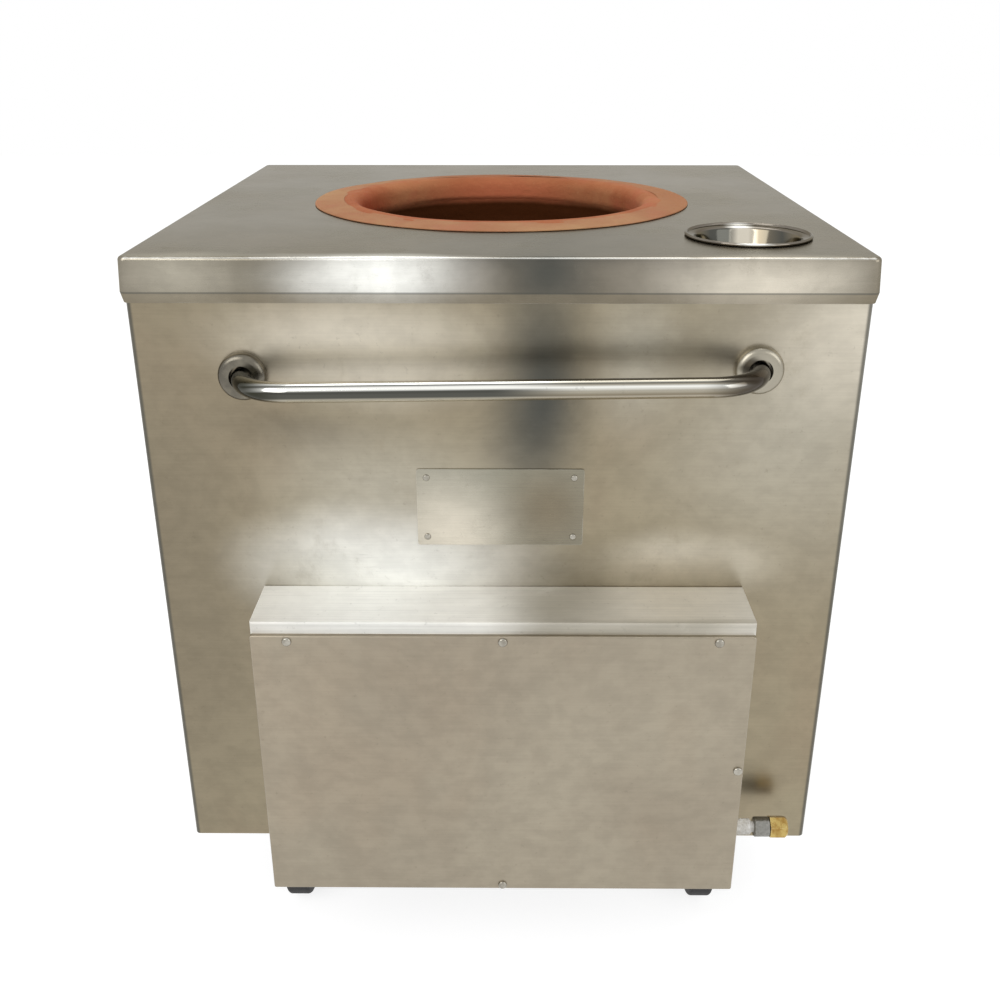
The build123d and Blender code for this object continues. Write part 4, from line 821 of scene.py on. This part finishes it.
# nipple wrapped in white thread tape
tapedNipple = {
    "axis": (-0.399, 0.2075),  # y and z of its centre line
    "pipe": [(0.228, 0.007), (0.294, 0.007)],
    "tape": [  # distance along the pipe and radius
        (0.294, 0.0098), (0.2955, 0.0103), (0.3190, 0.0104), (0.3208, 0.0098), (0.3212, 0.0072),
        (0.3255, 0.0070),
    ],
    "tapeFrom": (0.0085, 0.0012),  # radius where tape starts, and how much on it is full
    "turns": 120,
    "step": 0.0004,
    "wrapPitch": 0.0042,
    "wrapStep": 0.0005,
    "lumps": {"around": 7, "along": 1400, "count": 40, "seed": 3, "size": 0.00055},
    "lumpRange": (-0.001, 0.0003),
    "bore": 0.0045,
    "clean": (0.86, 0.85, 0.82),
    "thin": (0.60, 0.57, 0.51), "thinScale": 170,
    "dirt": (0.28, 0.24, 0.19), "dirtScale": 420, "dirtShare": 0.5,
    "rough": 0.42, "strand": (1500, 160, 160), "strandDepth": 0.0003,
}


def tapeMaterial(name, look):
    material, tree, shader, place = newMaterial(name)
    thin = between(tree, noise(tree, place, look["thinScale"], 5, 0.7), 0.35, 0.7)
    colour = mixColour(tree, thin, look["clean"], look["thin"])
    dirt = between(tree, noise(tree, place, look["dirtScale"], 6, 0.8), 0.6, 0.72, (0.0, look["dirtShare"]))
    feed(tree, shader.inputs["Base Color"], mixColour(tree, dirt, colour, look["dirt"]))
    shader.inputs["Roughness"].default_value = look["rough"]
    strand = noise(tree, stretched(tree, place, look["strand"]), 1.0, 3)
    feed(tree, shader.inputs["Normal"], bump(tree, strand, 0.5, look["strandDepth"]))
    return material


def makeTapedNipple(look):
    # radius(x, turn) = pipe or tape radius + a saw tooth along a helix for each wrap's edge + slow lumps
    outline = evenly(look["pipe"] + look["tape"], look["step"], 1, closed=False)
    turn = fullTurn(look["turns"])
    along, radius = outline[:, :1], outline[:, 1:]
    start, reach = look["tapeFrom"]
    taped = np.clip((radius - start) / reach, 0, 1)
    tooth = (along / look["wrapPitch"] + turn / (2 * np.pi)) % 1.0
    lumps = waviness(turn + 0 * along, along + 0 * turn, look["lumps"])
    size = radius + taped * (look["wrapStep"] * (tooth - 1.0) + np.clip(lumps, *look["lumpRange"]))
    bore = np.full_like(turn, look["bore"])
    size = np.vstack([bore, size, bore])
    along = np.vstack([along[:1], along, along[-1:]])
    y = look["axis"][0] + size * np.cos(turn)
    z = look["axis"][1] + size * np.sin(turn)
    grid = np.stack([along + 0 * turn, y, z], -1)
    return gridMesh("taped_nipple", grid, tapeMaterial("threadTape", look), wrapU=True, wrapV=True)


nipplePiece = makeTapedNipple(tapedNipple)
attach(nipplePiece, "oven")
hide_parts("inlet_nipple")
print("taped nipple made")


# blanket round the pot: soft, pulled in under its tie wires
blanket = {
    "centre": (0.0, 0.0475),
    "gap": 0.0016,
    "thickness": 0.045,
    "top": 0.875,
    "foot": 0.2912,
    "footRadius": 0.2416,
    "ties": [0.36, 0.45, 0.54, 0.63, 0.72, 0.81],
    "pull": 0.009,  # depth of the dip under each wire
    "dipWidth": 0.012,
    "step": 0.006,
    "turns": 240,
    "lumps": {"around": 16, "along": 90, "count": 30, "seed": 21, "size": 0.0016},
    "deepest": 0.004,
    "wire": 0.0012,
    "wireSteps": (96, 8),  # round the pot, round the wire
    "pale": (0.80, 0.78, 0.73), "dark": (0.62, 0.58, 0.50), "softScale": 26,
    "rough": 0.95, "sheen": 0.4, "fibreScale": 320, "fibreDepth": 0.0012,
}


def blanketMaterial(name, look):
    material, tree, shader, place = newMaterial(name)
    soft = between(tree, noise(tree, place, look["softScale"], 6, 0.7), 0.3, 0.75)
    feed(tree, shader.inputs["Base Color"], mixColour(tree, soft, look["pale"], look["dark"]))
    shader.inputs["Roughness"].default_value = look["rough"]
    shader.inputs["Sheen Weight"].default_value = look["sheen"]
    fibre = noise(tree, place, look["fibreScale"], 7, 0.8, 1.2)
    feed(tree, shader.inputs["Normal"], bump(tree, fibre, 0.7, look["fibreDepth"]))
    return material


def makeBlanket(look, pot):
    # outer radius = pot wall + thickness, less a narrow dip at each tie and slow lumps
    inner = np.array(pot["outside"]) + [look["gap"], 0]
    inner = np.vstack([[(look["footRadius"], look["foot"])], inner, [(inner[-1, 0], look["top"])]])
    outer = inner + [look["thickness"], 0]
    outline = evenly(np.vstack([outer, inner[::-1]]), look["step"], 1)
    middle = (outline[:, 0] - np.interp(outline[:, 1], inner[:, 1], inner[:, 0])) / look["thickness"]
    turn = fullTurn(look["turns"])
    radius, height = outline[:, :1], outline[:, 1:]
    dips = np.exp(-((height - np.array(look["ties"])) / look["dipWidth"]) ** 2).sum(-1, keepdims=True)
    lumps = waviness(turn + 0 * height, height + 0 * turn, look["lumps"])
    push = middle[:, None].clip(0, 1) * (np.clip(lumps, -look["deepest"], 0.0) - look["pull"] * dips)
    grid = spunGrid(radius + push, height, turn, look["centre"])
    return gridMesh("fibre_blanket", grid, blanketMaterial("ceramicFibre", look), wrapU=True, wrapV=True)


def makeTieWires(look, pot):
    # each wire is a ring: centre circle at the dip's radius, round section of its own
    wall = np.array(pot["outside"])
    turn, around = [fullTurn(steps) for steps in look["wireSteps"]]
    turn = turn.T
    rings = []
    for height in look["ties"]:
        radius = np.interp(height, wall[:, 1], wall[:, 0]) + look["gap"] + look["thickness"] - look["pull"]
        reach = radius + look["wire"] * np.cos(around)
        x = look["centre"][0] + reach * np.cos(turn)
        y = look["centre"][1] + reach * np.sin(turn)
        z = height + look["wire"] * np.sin(around) + 0 * turn
        grid = np.stack([x, y, z], -1)
        rings.append(gridMesh("wire_" + str(len(rings)), grid, zincMaterial, wrapU=True, wrapV=True))
    return joined(rings, "tie_wires")


def joined(pieces, name):
    with bpy.context.temp_override(active_object=pieces[0], selected_editable_objects=pieces):
        bpy.ops.object.join()
    pieces[0].name = name
    pieces[0].data.name = name
    return pieces[0]


zincMaterial = zincSteel("zincPlate", zincLook)
blanketPiece = makeBlanket(blanket, clayPot)
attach(blanketPiece, "oven")
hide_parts("insulation_jacket")
wirePiece = makeTieWires(blanket, clayPot)
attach(wirePiece, "oven")
print("blanket and wires made")


# stitch welds where the box's walls meet the front panel
seamWelds = {
    "x": (-0.2825, 0.2925),
    "y": -0.3545,
    "heights": [0.185, 0.275, 0.365, 0.455],
    "length": 0.028,
    "size": 0.0022,
    "steps": (67, 14),  # along a bead, round it
    "ripple": 0.16,
    "ripples": 11,
    "sink": 0.0002,
}


def makeWelds(look):
    # a rod along z whose radius = size * (end taper) * (1 + small ripple), sunk into the corner
    beads = []
    along = np.linspace(0, 1, look["steps"][0])[:, None]
    around = fullTurn(look["steps"][1])
    taper = np.sqrt(np.clip(1 - (2 * along - 1) ** 8, 0, 1))
    ripple = 1 + look["ripple"] * np.abs(np.sin(along * np.pi * look["ripples"]))
    radius = look["size"] * taper * ripple
    for side, corner in zip((-1, 1), look["x"]):
        for low in look["heights"]:
            x = corner + side * look["sink"] + radius * np.cos(around)
            y = look["y"] - look["sink"] + radius * np.sin(around)
            z = low + look["length"] * along + 0 * around
            grid = np.stack([x, y, z], -1)
            beads.append(gridMesh("bead_" + str(len(beads)), grid, weldMaterial, wrapV=True))
    return joined(beads, "seam_welds")


weldMaterial = roughMetal("weldMetal", weldLook)
weldPiece = makeWelds(seamWelds)
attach(weldPiece, "oven")
print("welds made")


# finishes on the CAD nodes
finishes = [
    (satinSteel("deckSteel", deckLook), ["top_deck"]),
    (satinSteel("frontSteel", frontPanelLook), ["front_panel"]),
    (satinSteel("sideSteel", sideLook), ["left_panel", "right_panel"]),
    (satinSteel("rearSteel", rearLook), ["rear_panel"]),
    (satinSteel("cowlSteel", cowlLook), ["control_cowl"]),
    (satinSteel("coverSteel", coverLook), ["control_cover"]),
    (satinSteel("plateSteel", plateLook), ["nameplate"]),
    (polishedSteel("barSteel", barLook), ["handle_bar"]),
    (polishedSteel("ringSteel", ringLook), ["handle_flanges"]),
    (polishedSteel("screwSteel", screwLook), [
        "cover_screws", "nameplate_screws", "panel_rivets", "handle_nuts",
    ]),
    (zincMaterial, [
        "caster_plates", "caster_bolts", "inlet_locknut", "manifold_pipe", "air_shutter", "pilot_burner",
        "fork_", "axle_", "brake_",
    ]),
    (zincSteel("collarSteel", collarLook), ["inlet_collar"]),
    (zincSteel("structureSteel", structureLook), [
        "corner_posts", "base_frame", "caster_rails", "base_plate", "pot_stand",
    ]),
    (roughMetal("castIron", castLook), ["burner_head", "mixing_tube", "flame_spreader"]),
    (roughMetal("brass", brassLook), ["inlet_union", "gas_cock", "gas_orifice"]),
    (roughMetal("copper", copperLook), ["thermocouple_lead"]),
    (roughMetal("aluminium", aluminiumLook), ["pilot_tube", "safety_valve"]),
    (mouldedPlastic("blackPlastic", blackLook), ["gas_knob", "wheel_"]),
    (mouldedPlastic("redPlastic", redLook), ["reset_button"]),
    (mouldedPlastic("tyreRubber", tyreLook), ["tread_"]),
]


def wearsFinish(nodeName, names):
    # a name that ends in _ stands for every node that starts with it
    return any(nodeName == name or (name.endswith("_") and nodeName.startswith(name)) for name in names)


def dressNodes(finishes):
    dressed = set()
    for material, names in finishes:
        for nodeName, piece in cadNodes.items():
            if wearsFinish(nodeName, names):
                for slot in piece.material_slots:
                    slot.material = material
                if not piece.material_slots:
                    piece.data.materials.append(material)
                dressed.add(nodeName)
    bare = [name for name, piece in cadNodes.items() if name not in dressed and not piece.hide_render]
    print("finishes put on", len(dressed), "nodes, left bare:", bare)


dressNodes(finishes)


# floor, sky and lamps
stageLook = {
    "reach": 9.0,
    "floor": 0.40,
    "lift": 0.80,  # white that only what looks at the floor sees
    "ambient": 0.65,
    "lamps": [  # name, place, target, width, height, power
        ("keyLamp", (-2.2, -2.9, 2.9), (0, -0.2, 0.6), 2.4, 2.4, 54),
        ("fillLamp", (2.6, -2.2, 1.9), (0, -0.1, 0.5), 2.0, 2.0, 19),
        ("topLamp", (0.2, 0.6, 4.2), (0, 0.0, 0.8), 2.4, 2.0, 34),
    ],
}


def seenDirectly(tree):
    # 1 for rays from the eye, in a reflection or through glass
    path = addNode(tree, "ShaderNodeLightPath")
    some = mathNode(tree, "MAXIMUM", path.outputs["Is Camera Ray"], path.outputs["Is Glossy Ray"])
    return mathNode(tree, "MAXIMUM", some, path.outputs["Is Transmission Ray"])


def makeStage(look):
    reach = look["reach"]
    corners = [(-reach, -reach, 0), (reach, -reach, 0), (reach, reach, 0), (-reach, reach, 0)]
    mesh = bpy.data.meshes.new("floor")
    mesh.from_pydata(corners, [], [(0, 1, 2, 3)])
    floor = newObject("floor", mesh)
    material = bpy.data.materials.new("paleFloor")
    material.use_nodes = True
    tree = material.node_tree
    tree.nodes.clear()
    diffuse = addNode(tree, "ShaderNodeBsdfDiffuse", {"Color": (look["floor"],) * 3})
    strength = mathNode(tree, "MULTIPLY", seenDirectly(tree), look["lift"])
    glow = addNode(tree, "ShaderNodeEmission", {"Color": (1, 1, 1), "Strength": strength})
    both = addNode(tree, "ShaderNodeAddShader", {0: diffuse.outputs[0], 1: glow.outputs[0]})
    addNode(tree, "ShaderNodeOutputMaterial", {"Surface": both.outputs[0]})
    mesh.materials.append(material)
    world = bpy.data.worlds.new("softSky")
    bpy.context.scene.world = world
    world.use_nodes = True
    tree = world.node_tree
    sky = tree.nodes["Background"]
    sky.inputs["Color"].default_value = (1, 1, 1, 1)
    spread = mathNode(tree, "MULTIPLY_ADD", seenDirectly(tree), 1.0 - look["ambient"])
    spread.node.inputs[2].default_value = look["ambient"]
    feed(tree, sky.inputs["Strength"], spread)
    for name, place, target, width, height, power in look["lamps"]:
        data = bpy.data.lights.new(name, "AREA")
        data.shape = "RECTANGLE"
        data.size, data.size_y, data.energy = width, height, power
        lamp = newObject(name, data)
        aim(lamp, place, Vector(target) - Vector(place))
        lamp.visible_camera = False


makeStage(stageLook)
bpy.context.scene.view_settings.view_transform = "Standard"
print("stage made")

bpy.context.view_layer.update()
